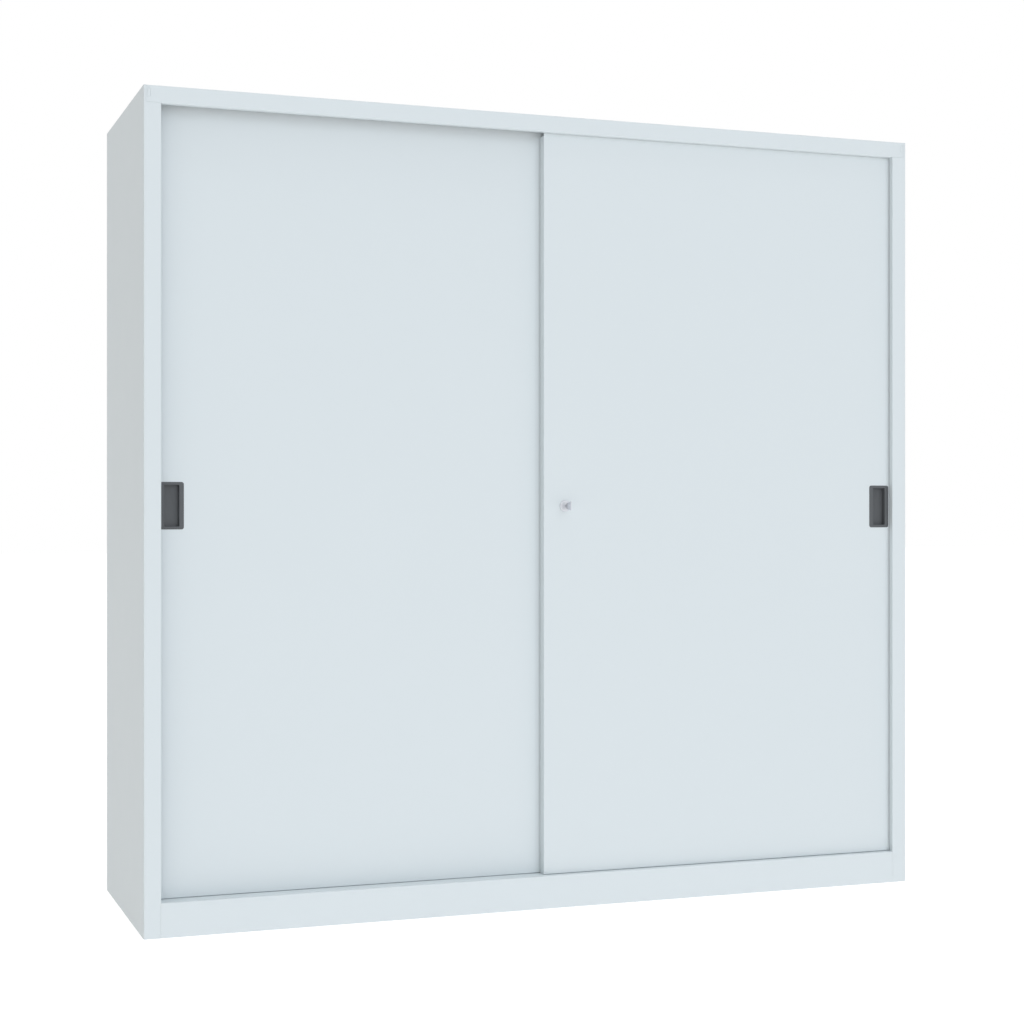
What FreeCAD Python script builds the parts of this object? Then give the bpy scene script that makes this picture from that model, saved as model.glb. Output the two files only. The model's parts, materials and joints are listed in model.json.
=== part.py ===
import FreeCAD, Part
import math
import os
from types import SimpleNamespace

import Sketcher

# Sliding door cabinet in folded sheet steel, in millimetres.
# +X runs along the front to the right, +Y runs from the front to the back, +Z is up.
# The origin is the middle of the footprint, on the floor.
# Each piece is drawn in a frame of its own, and its Placement puts it in the cabinet.

doc = FreeCAD.newDocument("SlidingDoorCabinet")
sheet = doc.addObject("Spreadsheet::Sheet", "Sizes")

SIZES = [
    # the whole cabinet
    ("cabinet_width", 2000.0),
    ("cabinet_height", 1950.0),
    ("cabinet_depth", 600.0),
    ("steel", 1.0),
    ("bend_radius", 2.0),
    ("seam_gap", 0.3),
    # side panels, each with the post at its front
    ("post_width", 40.0),
    ("post_return", 15.0),
    ("rear_flange", 20.0),
    ("post_edge", 5.4),
    ("lap_height", 15.0),
    # top panel, with the rail at its front
    ("rail_height", 40.0),
    ("rail_return", 15.0),
    ("rail_corner", 5.0),
    ("tongue_width", 6.2),
    ("tongue_height", 22.0),
    ("tongue_inset", 12.0),
    ("tongue_drop", 17.0),
    # plinth and bottom
    ("plinth_height", 80.0),
    ("ledge_depth", 74.0),
    ("floor_return", 20.0),
    ("panel_flange", 20.0),
    # doors
    ("door_setback", 2.0),
    ("door_thickness", 25.0),
    ("door_gap", 2.5),
    ("door_overlap", 34.0),
    ("door_cover", 13.0),
    ("door_lap", 11.0),
    ("door_floor_gap", 1.0),
    ("door_flange", 20.0),
    ("door_edge_radius", 1.5),
    ("door_relief", 17.7),
    ("front_travel", 950.0),
    ("rear_travel", 870.0),
    # vertical stiffener inside each door
    ("stiffener_width", 36.0),
    ("stiffener_depth", 18.0),
    ("stiffener_flange", 12.0),
    ("stiffener_end_gap", 60.0),
    # channel along the bottom of each door, and the floor guide that runs in it
    ("channel_width", 13.0),
    ("channel_height", 15.0),
    ("channel_seat", 0.5),
    ("fin_length", 22.0),
    ("fin_play", 1.5),
    ("fin_head_gap", 3.0),
    ("fin_corner", 3.0),
    ("guide_base_length", 60.0),
    ("guide_base_thickness", 4.0),
    # top tracks
    ("track_steel", 1.5),
    ("track_setback", 2.0),
    ("track_gap", 1.5),
    ("track_flange", 18.0),
    ("lip_height", 3.5),
    # rollers, axles and hangers
    ("roller_radius", 10.0),
    ("roller_width", 7.0),
    ("groove_radius", 8.2),
    ("groove_width", 2.5),
    ("groove_flare", 0.35),
    ("roller_chamfer", 0.5),
    ("roll_gap", 0.3),
    ("flange_gap", 0.5),
    ("bore_play", 0.05),
    ("axle_radius", 3.0),
    ("axle_head_radius", 4.5),
    ("axle_head_thickness", 1.5),
    ("roller_side_gap", 0.5),
    ("hanger_steel", 2.0),
    ("hanger_width", 50.0),
    ("hanger_head_width", 20.0),
    ("hanger_head_rise", 7.0),
    ("hanger_inset", 70.0),
    ("hanger_slot_gap", 0.5),
    ("bolt_radius", 2.5),
    ("bolt_head_radius", 4.5),
    ("bolt_head_thickness", 2.5),
    ("bolt_spacing", 30.0),
    ("bolt_drop", 10.0),
    ("bolt_hole_gap", 0.25),
    # rubber buffers in the tracks
    ("buffer_length", 12.0),
    ("buffer_gap", 0.5),
    ("buffer_head_gap", 3.0),
    # recessed pulls and the lock share one height
    ("pull_height", 989.6),
    ("pull_inset", 44.0),
    ("pull_width", 57.0),
    ("pull_length", 110.0),
    ("pull_corner", 5.5),
    ("pull_rim", 1.2),
    ("pull_rim_round", 0.8),
    ("recess_width", 35.0),
    ("recess_length", 96.6),
    ("recess_depth", 14.0),
    ("recess_corner", 3.0),
    ("recess_floor_round", 2.0),
    ("cup_wall", 2.0),
    ("cup_gap", 0.5),
    # lock
    ("lock_inset", 56.4),
    ("rosette_radius", 14.5),
    ("rosette_thickness", 4.0),
    ("rosette_rim", 1.2),
    ("rosette_bevel", 4.0),
    ("housing_radius", 12.0),
    ("housing_length", 24.0),
    ("housing_end", 1.5),
    ("lock_hole_gap", 0.2),
    ("lock_nut_radius", 16.0),
    ("lock_nut_thickness", 3.0),
    ("barrel_radius", 9.5),
    ("barrel_length", 16.5),
    ("barrel_proud", 0.5),
    ("press_travel", 10.0),
    ("latch_radius", 4.0),
    ("latch_setback", 0.5),
    ("plug_radius", 6.0),
    ("plug_length", 14.0),
    ("plug_proud", 0.3),
    ("keyway_depth", 12.0),
    ("keyway_gap", 0.2),
    ("key_thickness", 2.0),
    ("blade_height", 7.0),
    ("neck_height", 8.8),
    ("neck_length", 5.5),
    ("bow_root_height", 15.0),
    ("bow_height", 23.0),
    ("bow_length", 30.0),
    ("bow_corner", 3.0),
    ("bow_hole_radius", 2.5),
    ("bow_hole_inset", 7.0),
    # strike plate on the rear door
    ("strike_steel", 1.5),
    ("strike_leg", 20.0),
    ("strike_height", 40.0),
    ("strike_margin", 14.0),
    ("strike_hole_radius", 7.0),
    # centre partition
    ("partition_gap", 6.0),
    ("partition_flange", 20.0),
    # uprights with slots, and the clips that hang in the slots
    ("upright_width", 30.0),
    ("upright_depth", 8.0),
    ("upright_front", 110.0),
    ("upright_rear", 60.0),
    ("slot_width", 15.0),
    ("slot_height", 5.0),
    ("slot_pitch", 50.0),
    ("slot_first", 25.0),
    ("clip_width", 14.0),
    ("clip_seat", 12.0),
    ("clip_steel", 1.5),
    ("clip_height", 16.0),
    ("hook_drop", 10.0),
    ("hook_height", 3.6),
    ("hook_tip", 3.0),
    ("hook_play", 0.1),
    # shelves
    ("shelf_thickness", 25.0),
    ("shelf_rim", 14.0),
    ("shelf_end_gap", 1.5),
    ("shelf_setback", 12.0),
    ("shelf_back_gap", 3.0),
    ("slots_per_shelf", 7.0),
    # levelling feet
    ("foot_side_inset", 45.0),
    ("foot_front_inset", 115.0),
    ("foot_rear_inset", 60.0),
    ("foot_radius", 20.0),
    ("foot_thickness", 8.0),
    ("foot_chamfer", 2.0),
    ("stud_radius", 5.0),
    ("stud_top", 65.0),
    ("bracket_height", 30.0),
    ("bracket_steel", 2.0),
    ("bracket_width", 70.0),
    ("bracket_flange", 25.0),
    ("bracket_hole_gap", 0.5),
    ("nut_radius", 9.8),
    ("nut_thickness", 8.0),
    ("access_radius", 9.0),
]

for row, (alias, millimetres) in enumerate(SIZES, 1):
    sheet.set(f"A{row}", alias.replace("_", " "))
    sheet.set(f"B{row}", str(millimetres))
    sheet.setAlias(f"B{row}", alias)
doc.recompute()

SHELVES_PER_BAY = 4
# cuts that have to break through a face run past it by this much
PAST = 1.0
# two points closer than this are one point
SAME_PLACE = 0.001


class Size:
    """A length worked out from the sheet: its expression text, and its present value in mm."""

    def __init__(self, text, value):
        self.text = text
        self.value = value

    def __add__(self, other):
        other = as_size(other)
        return Size(f"({self.text} + {other.text})", self.value + other.value)

    def __sub__(self, other):
        other = as_size(other)
        return Size(f"({self.text} - {other.text})", self.value - other.value)

    def __mul__(self, other):
        other = as_size(other)
        return Size(f"{self.text} * {other.text}", self.value * other.value)

    def __truediv__(self, other):
        other = as_size(other)
        return Size(f"{self.text} / {other.text}", self.value / other.value)

    def __neg__(self):
        return self * -1

    __radd__ = __add__
    __rmul__ = __mul__


def as_size(number):
    if isinstance(number, Size):
        return number
    text = str(float(number))
    return Size(f"({text})" if number < 0 else text, float(number))


def larger(one, other):
    """The larger of two lengths, whichever that is at the sheet's present values."""
    return Size(f"max({one.text}; {other.text})", max(one.value, other.value))


def whole(number):
    """The nearest whole number, for things that are counted."""
    return Size(f"round({number.text})", float(round(number.value)))


size = SimpleNamespace(**{alias: Size(f"Sizes.{alias}", value) for alias, value in SIZES})

# Planes and lines that several pieces share
front = -(size.cabinet_depth / 2)
back = size.cabinet_depth / 2
side = size.cabinet_width / 2
inside = side - size.steel
doorway = side - size.post_width
top = size.cabinet_height
under_top = top - size.steel
rail_low = top - size.rail_height
ledge = size.plinth_height
back_sheet = back - size.steel * 2
bottom_front = front + size.ledge_depth + size.seam_gap

door_low = ledge + size.door_floor_gap
door_high = rail_low + size.door_lap
door_height = door_high - door_low
door_width = doorway + size.door_cover + size.door_overlap / 2
front_face = front + larger(size.post_return, size.rail_return) + size.door_setback
rear_face = front_face + size.door_thickness + size.door_gap
rear_back = rear_face + size.door_thickness

# in a door's own depth, counted back from its face
door_back_sheet = size.door_thickness - size.steel
hanger_face = door_back_sheet - size.hanger_steel
roller_place = hanger_face - size.roller_side_gap - size.roller_width / 2
channel_front = (size.door_thickness - size.channel_width) / 2

track_low = door_high + size.track_gap
flange_reach = size.roller_radius - size.groove_radius - size.roll_gap
lip_top = track_low + larger(size.lip_height, size.track_steel + flange_reach + size.flange_gap)
roller_height = lip_top + size.groove_radius + size.roll_gap

bay_middle = side / 2
bay_half = (inside - size.steel) / 2
partition_front = rear_back + size.partition_gap
shelf_front = rear_back + size.shelf_setback
shelf_spacing = whole(size.slots_per_shelf) * size.slot_pitch
first_shelf = ledge + size.slot_first + shelf_spacing + size.hook_drop

ZERO = as_size(0)
LEFT, RIGHT = -1, 1
SIDES = ((LEFT, "left"), (RIGHT, "right"))

parts = []


# Helpers: each takes sizes and binds them, so that the model follows the sheet


def bind(thing, name, length):
    thing.setExpression(name, as_size(length).text)


def piece(label, x=ZERO, y=ZERO, z=ZERO):
    """An empty body with the name of its piece, placed in the cabinet."""
    body = doc.addObject("PartDesign::Body", label)
    body.Label = label
    for axis, distance in zip("xyz", (x, y, z)):
        bind(body, f"Placement.Base.{axis}", distance)
    parts.append(body)
    return body


def feature(body, kind, name):
    return body.newObject(f"PartDesign::{kind}", name)


def finish(body, made):
    """Makes a new feature the body's result, and checks that it worked."""
    body.Tip = made
    doc.recompute()
    if "Invalid" in made.State or "Error" in made.State or made.Shape.isNull():
        raise RuntimeError(f"{body.Label}: {made.Name} failed")
    return made


def sketch_on(body, name, plane, offset=ZERO):
    """A sketch on one of the body's own origin planes, moved along the plane's normal."""
    sketch = body.newObject("Sketcher::SketchObject", name)
    support = [f for f in body.Origin.OriginFeatures if f.Role == plane][0]
    sketch.AttachmentSupport = [(support, "")]
    sketch.MapMode = "FlatFace"
    bind(sketch, "AttachmentOffset.Base.z", offset)
    return sketch


def pin(sketch, geometry, point, across, up):
    """Fixes a point of the sketch at its distances from the sketch's origin."""
    for kind, distance in (("DistanceX", across), ("DistanceY", up)):
        distance = as_size(distance)
        number = sketch.addConstraint(
            Sketcher.Constraint(kind, -1, 1, geometry, point, distance.value)
        )
        bind(sketch, f"Constraints[{number}]", distance)


def polygon(body, name, plane, corners, offset=ZERO):
    """A closed outline through its corners."""
    sketch = sketch_on(body, name, plane, offset)
    points = [
        FreeCAD.Vector(as_size(across).value, as_size(up).value, 0) for across, up in corners
    ]
    count = len(points)
    for number in range(count):
        line = Part.LineSegment(points[number], points[(number + 1) % count])
        sketch.addGeometry(line, False)
    for number in range(count):
        joined = Sketcher.Constraint("Coincident", number, 2, (number + 1) % count, 1)
        sketch.addConstraint(joined)
    for number, (across, up) in enumerate(corners):
        pin(sketch, number, 1, across, up)
    return sketch


def circle(body, name, plane, across, up, radius, offset=ZERO):
    sketch = sketch_on(body, name, plane, offset)
    centre = FreeCAD.Vector(as_size(across).value, as_size(up).value, 0)
    round_line = Part.Circle(centre, FreeCAD.Vector(0, 0, 1), radius.value)
    number = sketch.addGeometry(round_line, False)
    pin(sketch, number, 3, across, up)
    constraint = sketch.addConstraint(Sketcher.Constraint("Radius", number, radius.value))
    bind(sketch, f"Constraints[{constraint}]", radius)
    return sketch


def obround(body, name, plane, across, middle, width, height, offset=ZERO):
    """An upright slot shape: two straight sides and two half circles."""
    sketch = sketch_on(body, name, plane, offset)
    radius = width / 2
    reach = height / 2 - radius
    x, r = as_size(across).value, radius.value
    high = (middle + reach).value
    low = (middle - reach).value
    up = FreeCAD.Vector(0, 0, 1)
    upper = Part.ArcOfCircle(Part.Circle(FreeCAD.Vector(x, high, 0), up, r), 0, math.pi)
    lower = Part.ArcOfCircle(Part.Circle(FreeCAD.Vector(x, low, 0), up, r), math.pi, math.tau)
    left = Part.LineSegment(FreeCAD.Vector(x - r, high, 0), FreeCAD.Vector(x - r, low, 0))
    right = Part.LineSegment(FreeCAD.Vector(x + r, low, 0), FreeCAD.Vector(x + r, high, 0))
    for line in (upper, left, lower, right):
        sketch.addGeometry(line, False)
    for number in range(4):
        joined = Sketcher.Constraint("Tangent", number, 2, (number + 1) % 4, 1)
        sketch.addConstraint(joined)
    pin(sketch, 0, 3, across, middle + reach)
    pin(sketch, 2, 3, across, middle - reach)
    constraint = sketch.addConstraint(Sketcher.Constraint("Radius", 0, r))
    bind(sketch, f"Constraints[{constraint}]", radius)
    return sketch


def pad(body, name, sketch, length):
    """Adds material along the plane's normal."""
    made = feature(body, "Pad", name)
    made.Profile = sketch
    bind(made, "Length", length)
    return finish(body, made)


def pocket(body, name, sketch, length):
    """Takes material away, against the plane's normal."""
    before = body.Tip.Shape.Volume
    made = feature(body, "Pocket", name)
    made.Profile = sketch
    bind(made, "Length", length)
    finish(body, made)
    check_cut(body, made, before)
    return made


def check_cut(body, made, before):
    if made.Shape.Volume >= before:
        raise RuntimeError(f"{body.Label}: {made.Name} cuts nothing")


def place_box(made, low, high):
    for name, axis, start, end in zip(("Length", "Width", "Height"), "xyz", low, high):
        bind(made, name, as_size(end) - start)
        bind(made, f"Placement.Base.{axis}", start)


def add_box(body, name, low, high):
    made = feature(body, "AdditiveBox", name)
    place_box(made, low, high)
    return finish(body, made)


def cut_box(body, name, low, high):
    before = body.Tip.Shape.Volume
    made = feature(body, "SubtractiveBox", name)
    place_box(made, low, high)
    finish(body, made)
    check_cut(body, made, before)
    return made


def cut_bore(body, name, plane, across, up, radius, start, length):
    """A round hole square to a plane, from its far end back against the plane's normal."""
    return pocket(body, name, circle(body, name + "Line", plane, across, up, radius, start), length)


def turned(body, name, outline, plane="XY_Plane"):
    """A full turn of (radius, distance) corners about the plane's upright axis: Y, or Z in XZ."""
    sketch = polygon(body, name + "Outline", plane, outline)
    made = feature(body, "Revolution", name)
    made.Profile = sketch
    made.ReferenceAxis = (sketch, ["V_Axis"])
    made.Angle = 360
    return finish(body, made)


def lies_at(distance, wanted):
    """Whether a distance is the wanted one, or lies between two wanted ones."""
    low, high = wanted if isinstance(wanted, tuple) else (wanted, wanted)
    return as_size(low).value - SAME_PLACE < distance < as_size(high).value + SAME_PLACE


def edges_where(shape, **fixed):
    """The names of the edges whose ends all have the given x, y or z."""
    found = []
    for number, edge in enumerate(shape.Edges, 1):
        if all(
            lies_at(getattr(vertex, axis.upper()), wanted)
            for vertex in edge.Vertexes
            for axis, wanted in fixed.items()
        ):
            found.append(f"Edge{number}")
    return found


def rounded(body, name, radius, *groups):
    """A fillet on the edges that each group of fixed coordinates picks."""
    base = body.Tip
    edges = []
    for fixed in groups:
        picked = [edge for edge in edges_where(base.Shape, **fixed) if edge not in edges]
        if not picked:
            raise RuntimeError(f"{body.Label}: {name} finds no edge at {sorted(fixed)}")
        edges += picked
    made = feature(body, "Fillet", name)
    made.Base = (base, edges)
    bind(made, "Radius", radius)
    return finish(body, made)


def axis_of(body, role):
    return [f for f in body.Origin.OriginFeatures if f.Role == role][0]


def row_of(body, name, originals, axis, count, pitch):
    """Equally spaced copies along one of the body's axes."""
    made = feature(body, "LinearPattern", name)
    set_row(body, made, axis, count, pitch)
    made.Originals = originals
    return finish(body, made)


def set_row(body, made, axis, count, pitch):
    made.Direction = (axis_of(body, axis), [""])
    made.Mode = "Spacing"
    bind(made, "Offset", pitch)
    if isinstance(count, Size):
        made.setExpression("Occurrences", f"floor({count.text}) + 1")
    else:
        made.Occurrences = count


def repeated(body, name, originals, rows, mirror=None):
    """Rows of rows, mirrored in one of the body's planes where asked."""
    made = feature(body, "MultiTransform", name)
    steps = []
    for number, (axis, count, pitch) in enumerate(rows):
        step = feature(body, "LinearPattern", f"{name}Row{number}")
        set_row(body, step, axis, count, pitch)
        steps.append(step)
    if mirror:
        step = feature(body, "Mirrored", f"{name}Mirror")
        step.MirrorPlane = (axis_of(body, mirror), [""])
        steps.append(step)
    made.Originals = originals
    made.Transformations = steps
    return finish(body, made)


# Carcass


def side_panel(hand, name):
    """A side wall folded into the front post and a rear flange, with a lap behind the rail."""
    body = piece(f"{name}_side_panel", side * hand, front)
    steel = size.steel

    def inward(distance):
        return as_size(distance) * -hand

    section = [
        (ZERO, ZERO),
        (ZERO, size.cabinet_depth),
        (inward(size.rear_flange), size.cabinet_depth),
        (inward(size.rear_flange), size.cabinet_depth - steel),
        (inward(steel), size.cabinet_depth - steel),
        (inward(steel), steel),
        (inward(size.post_width - steel), steel),
        (inward(size.post_width - steel), size.post_return),
        (inward(size.post_width), size.post_return),
        (inward(size.post_width), ZERO),
    ]
    pad(body, "Wall", polygon(body, "Section", "XY_Plane", section), top)
    rounded(
        body,
        "OuterBends",
        size.bend_radius,
        {"x": ZERO, "y": ZERO},
        {"x": inward(size.post_width), "y": ZERO},
    )
    rounded(
        body,
        "InnerBends",
        size.bend_radius - steel,
        {"x": inward(steel), "y": steel},
        {"x": inward(size.post_width - steel), "y": steel},
    )

    def span(near, far):
        """Two distances inward, put in the order of the body's X axis."""
        ends = [inward(near), inward(far)]
        return ends if hand == LEFT else ends[::-1]

    notch_low = rail_low + steel - size.seam_gap
    below_bend = under_top - size.bend_radius
    low_x, high_x = span(size.post_edge - size.seam_gap, size.post_width + PAST)
    cut_box(
        body,
        "RailNotch",
        (low_x, as_size(-PAST), notch_low),
        (high_x, steel, top + PAST),
    )
    rounded(
        body,
        "NotchCorner",
        size.rail_corner + size.seam_gap,
        {"x": inward(size.post_edge - size.seam_gap), "z": notch_low},
    )
    low_x, high_x = span(steel, size.post_width + PAST)
    cut_box(
        body,
        "TopClearance",
        (low_x, steel, below_bend),
        (high_x, size.cabinet_depth - steel, top + PAST),
    )
    low_x, high_x = span(steel, size.post_width - steel)
    add_box(
        body,
        "Lap",
        (low_x, steel, notch_low - size.lap_height),
        (high_x, steel * 2, below_bend),
    )
    tongue = obround(
        body,
        "TongueLine",
        "XZ_Plane",
        inward(size.tongue_inset),
        top - size.tongue_drop,
        size.tongue_width,
        size.tongue_height,
        -steel,
    )
    pad(body, "Tongue", tongue, steel)


def top_panel():
    """The top sheet, folded down into the front rail with its return, and a back flange."""
    steel = size.steel
    body = piece("top_panel", ZERO, front, top)
    length = back_sheet - front
    end = inside - size.seam_gap
    section = [
        (ZERO, ZERO),
        (length, ZERO),
        (length, -size.panel_flange),
        (length - steel, -size.panel_flange),
        (length - steel, -steel),
        (steel, -steel),
        (steel, steel - size.rail_height),
        (size.rail_return, steel - size.rail_height),
        (size.rail_return, -size.rail_height),
        (ZERO, -size.rail_height),
    ]
    pad(body, "Sheet", polygon(body, "Section", "YZ_Plane", section, -end), end * 2)
    rail_end = side - size.post_edge
    return_end = doorway - size.seam_gap
    for hand, name in SIDES:
        ends = [rail_end * hand, (side + PAST) * hand][::hand]
        cut_box(
            body,
            f"RailEnd{name}",
            (ends[0], as_size(-PAST), -size.rail_height - PAST),
            (ends[1], steel + size.seam_gap, as_size(PAST)),
        )
        ends = [return_end * hand, (side + PAST) * hand][::hand]
        cut_box(
            body,
            f"ReturnEnd{name}",
            (ends[0], as_size(-PAST), -size.rail_height - PAST),
            (ends[1], size.rail_return + PAST, steel - size.rail_height),
        )
    lower_edge = steel - size.rail_height
    rounded(
        body,
        "RailCorners",
        size.rail_corner,
        {"x": rail_end, "z": lower_edge},
        {"x": -rail_end, "z": lower_edge},
    )
    rounded(
        body,
        "OuterBends",
        size.bend_radius,
        {"y": ZERO, "z": ZERO},
        {"y": ZERO, "z": -size.rail_height},
    )
    rounded(
        body,
        "InnerBends",
        size.bend_radius - steel,
        {"y": steel, "z": -steel, "x": (-rail_end, rail_end)},
        {"y": steel, "z": lower_edge, "x": (-return_end, return_end)},
    )
    for hand, name in SIDES:
        slot = obround(
            body,
            f"TongueSlotLine{name}",
            "XZ_Plane",
            (side - size.tongue_inset) * hand,
            -size.tongue_drop,
            size.tongue_width + size.seam_gap * 2,
            size.tongue_height + size.seam_gap * 2,
        )
        pocket(body, f"TongueSlot{name}", slot, steel)


def plinth():
    """The front face below the doors, its ledge, and a return on the floor."""
    steel = size.steel
    body = piece("plinth", ZERO, front)
    end = inside - size.seam_gap
    depth = size.ledge_depth
    section = [
        (ZERO, ZERO),
        (ZERO, ledge),
        (depth, ledge),
        (depth, ledge - size.panel_flange),
        (depth - steel, ledge - size.panel_flange),
        (depth - steel, ledge - steel),
        (steel, ledge - steel),
        (steel, steel),
        (size.floor_return, steel),
        (size.floor_return, ZERO),
    ]
    pad(body, "Face", polygon(body, "Section", "YZ_Plane", section, -end), end * 2)
    rounded(body, "OuterBend", size.bend_radius, {"y": ZERO, "z": ledge})
    rounded(body, "InnerBend", size.bend_radius - steel, {"y": steel, "z": ledge - steel})
    for hand, name in SIDES:
        ends = [(doorway - size.seam_gap) * hand, (side + PAST) * hand][::hand]
        cut_box(
            body,
            f"PostNotch{name}",
            (ends[0], as_size(-PAST), as_size(-PAST)),
            (ends[1], size.post_return + size.seam_gap, ledge + PAST),
        )
    for face, name in ((front_face, "Front"), (rear_face, "Rear")):
        low, high = fin_depth(face - front)
        cut_box(
            body,
            f"FinSlot{name}",
            (-size.fin_length / 2 - size.seam_gap, low - size.seam_gap, ledge - steel - PAST),
            (size.fin_length / 2 + size.seam_gap, high + size.seam_gap, ledge + PAST),
        )


def fin_depth(face):
    """Where a fin of the floor guide starts and ends behind a door's face."""
    low = face + channel_front + size.steel + size.fin_play
    high = face + channel_front + size.channel_width - size.steel - size.fin_play
    return low, high


def bottom_panel():
    """The cabinet floor behind the doors, with a hole over each levelling foot."""
    steel = size.steel
    body = piece("bottom_panel", ZERO, bottom_front, ledge)
    end = inside - size.seam_gap
    length = back_sheet - bottom_front
    section = [
        (ZERO, ZERO),
        (length, ZERO),
        (length, -size.panel_flange),
        (length - steel, -size.panel_flange),
        (length - steel, -steel),
        (steel, -steel),
        (steel, -size.panel_flange),
        (ZERO, -size.panel_flange),
    ]
    pad(body, "Sheet", polygon(body, "Section", "YZ_Plane", section, -end), end * 2)
    for hand, side_name in SIDES:
        for depth, depth_name in foot_rows():
            cut_bore(
                body,
                f"Access{depth_name}{side_name}",
                "XY_Plane",
                (side - size.foot_side_inset) * hand,
                depth - bottom_front,
                size.access_radius,
                as_size(PAST),
                steel + 2 * PAST,
            )


def foot_rows():
    return (
        (front + size.foot_front_inset, "front"),
        (back - size.foot_rear_inset, "rear"),
    )


def back_panel(hand, name):
    """One of the two flat back sheets, welded in front of the rear flanges."""
    body = piece(f"back_panel_{name}", ZERO, back_sheet, ledge - size.panel_flange)
    ends = [size.seam_gap / 2 * hand, (inside - size.seam_gap) * hand][::hand]
    add_box(
        body,
        "Sheet",
        (ends[0], ZERO, ZERO),
        (ends[1], size.steel, top - ledge + size.panel_flange),
    )


def centre_partition():
    """Two folded sheets back to back, with flanges at the front and the back."""
    steel = size.steel
    body = piece("centre_partition", ZERO, partition_front, ledge)
    length = back_sheet - partition_front
    flange = size.partition_flange
    height = under_top - ledge
    section = [
        (-flange, ZERO),
        (flange, ZERO),
        (flange, steel),
        (steel, steel),
        (steel, length - steel),
        (flange, length - steel),
        (flange, length),
        (-flange, length),
        (-flange, length - steel),
        (-steel, length - steel),
        (-steel, steel),
        (-flange, steel),
    ]
    pad(body, "Wall", polygon(body, "Section", "XY_Plane", section), height)
    cut_box(
        body,
        "FlangeClearance",
        (
            -flange - PAST,
            length - steel - size.seam_gap,
            height + steel - size.panel_flange - size.seam_gap,
        ),
        (flange + PAST, length + PAST, height + PAST),
    )


def uprights(label, wall, facing):
    """A front and a rear channel on one wall, with slots for the shelf clips."""
    steel = size.steel
    body = piece(label, wall, front + size.upright_front, ledge)
    depth = size.upright_depth * facing
    web = (size.upright_depth - steel) * facing
    section = [
        (ZERO, ZERO),
        (depth, ZERO),
        (depth, size.upright_width),
        (ZERO, size.upright_width),
        (ZERO, size.upright_width - steel),
        (web, size.upright_width - steel),
        (web, steel),
        (ZERO, steel),
    ]
    height = under_top - ledge
    channel = pad(body, "Channel", polygon(body, "Section", "XY_Plane", section), height)
    row_of(body, "Pair", [channel], "Y_Axis", 2, upright_spread())
    ends = [web - PAST * facing, depth + PAST * facing][::facing]
    middle = size.upright_width / 2
    slot_half = larger(size.slot_width, size.clip_width + size.seam_gap * 2) / 2
    slot = cut_box(
        body,
        "Slot",
        (ends[0], middle - slot_half, size.slot_first),
        (ends[1], middle + slot_half, size.slot_first + size.slot_height),
    )
    count = (height - size.slot_first * 2) / size.slot_pitch
    rows = [("Z_Axis", count, size.slot_pitch), ("Y_Axis", 2, upright_spread())]
    repeated(body, "Slots", [slot], rows)


def upright_spread():
    """How far the rear upright stands behind the front one."""
    rear = back - size.upright_rear - size.upright_width
    return rear - (front + size.upright_front)


def shelf_clips(hand, name):
    """The clips of one bay: a seat for the shelf and a hook through the upright's slot."""
    middle = front + size.upright_front + size.upright_width / 2
    body = piece(f"shelf_clips_{name}", bay_middle * hand, middle, first_shelf)
    steel = size.clip_steel
    face = size.upright_depth - bay_half
    hook_in = size.steel + size.hook_play
    outline = [
        (face, ZERO),
        (face + size.clip_seat, ZERO),
        (face + size.clip_seat, -steel),
        (face + steel, -steel),
        (face + steel, -size.clip_height),
        (face, -size.clip_height),
        (face, -size.hook_drop),
        (face - hook_in, -size.hook_drop),
        (face - hook_in, -size.hook_drop - size.hook_tip),
        (face - hook_in - steel, -size.hook_drop - size.hook_tip),
        (face - hook_in - steel, size.hook_height - size.hook_drop),
        (face, size.hook_height - size.hook_drop),
    ]
    sketch = polygon(body, "Outline", "XZ_Plane", outline, -size.clip_width / 2)
    clip = pad(body, "Clip", sketch, size.clip_width)
    rows = [
        ("Z_Axis", SHELVES_PER_BAY, shelf_spacing),
        ("Y_Axis", 2, upright_spread()),
    ]
    repeated(body, "Clips", [clip], rows, "YZ_Plane")


def shelf(hand, name, number):
    """A tray of folded sheet, open below, with a rim that rests on four clips."""
    steel = size.steel
    height = first_shelf + shelf_spacing * (number - 1)
    body = piece(f"shelf_{name}_{number}", bay_middle * hand, shelf_front, height)
    half = bay_half - size.upright_depth - size.shelf_end_gap
    depth = back_sheet - size.steel - size.shelf_back_gap - shelf_front
    thickness = size.shelf_thickness
    rim = size.shelf_rim
    add_box(body, "Tray", (-half, ZERO, ZERO), (half, depth, thickness))
    cut_box(
        body,
        "Hollow",
        (steel - half, steel, steel),
        (half - steel, depth - steel, thickness - steel),
    )
    cut_box(
        body,
        "Underside",
        (rim - half, rim, as_size(-PAST)),
        (half - rim, depth - rim, steel * 2),
    )


# Levelling feet


def foot_brackets():
    """Four welded angle plates on the side walls, one over each foot."""
    steel = size.bracket_steel
    low, high = foot_rows()
    body = piece("foot_brackets", ZERO, low[0], size.bracket_height)
    outline = [
        (inside - size.bracket_width, ZERO),
        (inside, ZERO),
        (inside, steel + size.bracket_flange),
        (inside - steel, steel + size.bracket_flange),
        (inside - steel, steel),
        (inside - size.bracket_width, steel),
    ]
    sketch = polygon(body, "Outline", "XZ_Plane", outline, -size.bracket_width / 2)
    plate = pad(body, "Plate", sketch, size.bracket_width)
    hole = cut_bore(
        body,
        "StudHole",
        "XY_Plane",
        side - size.foot_side_inset,
        ZERO,
        size.stud_radius + size.bracket_hole_gap,
        steel + PAST,
        steel + 2 * PAST,
    )
    rows = [("Y_Axis", 2, high[0] - low[0])]
    repeated(body, "Brackets", [plate, hole], rows, "YZ_Plane")


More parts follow.
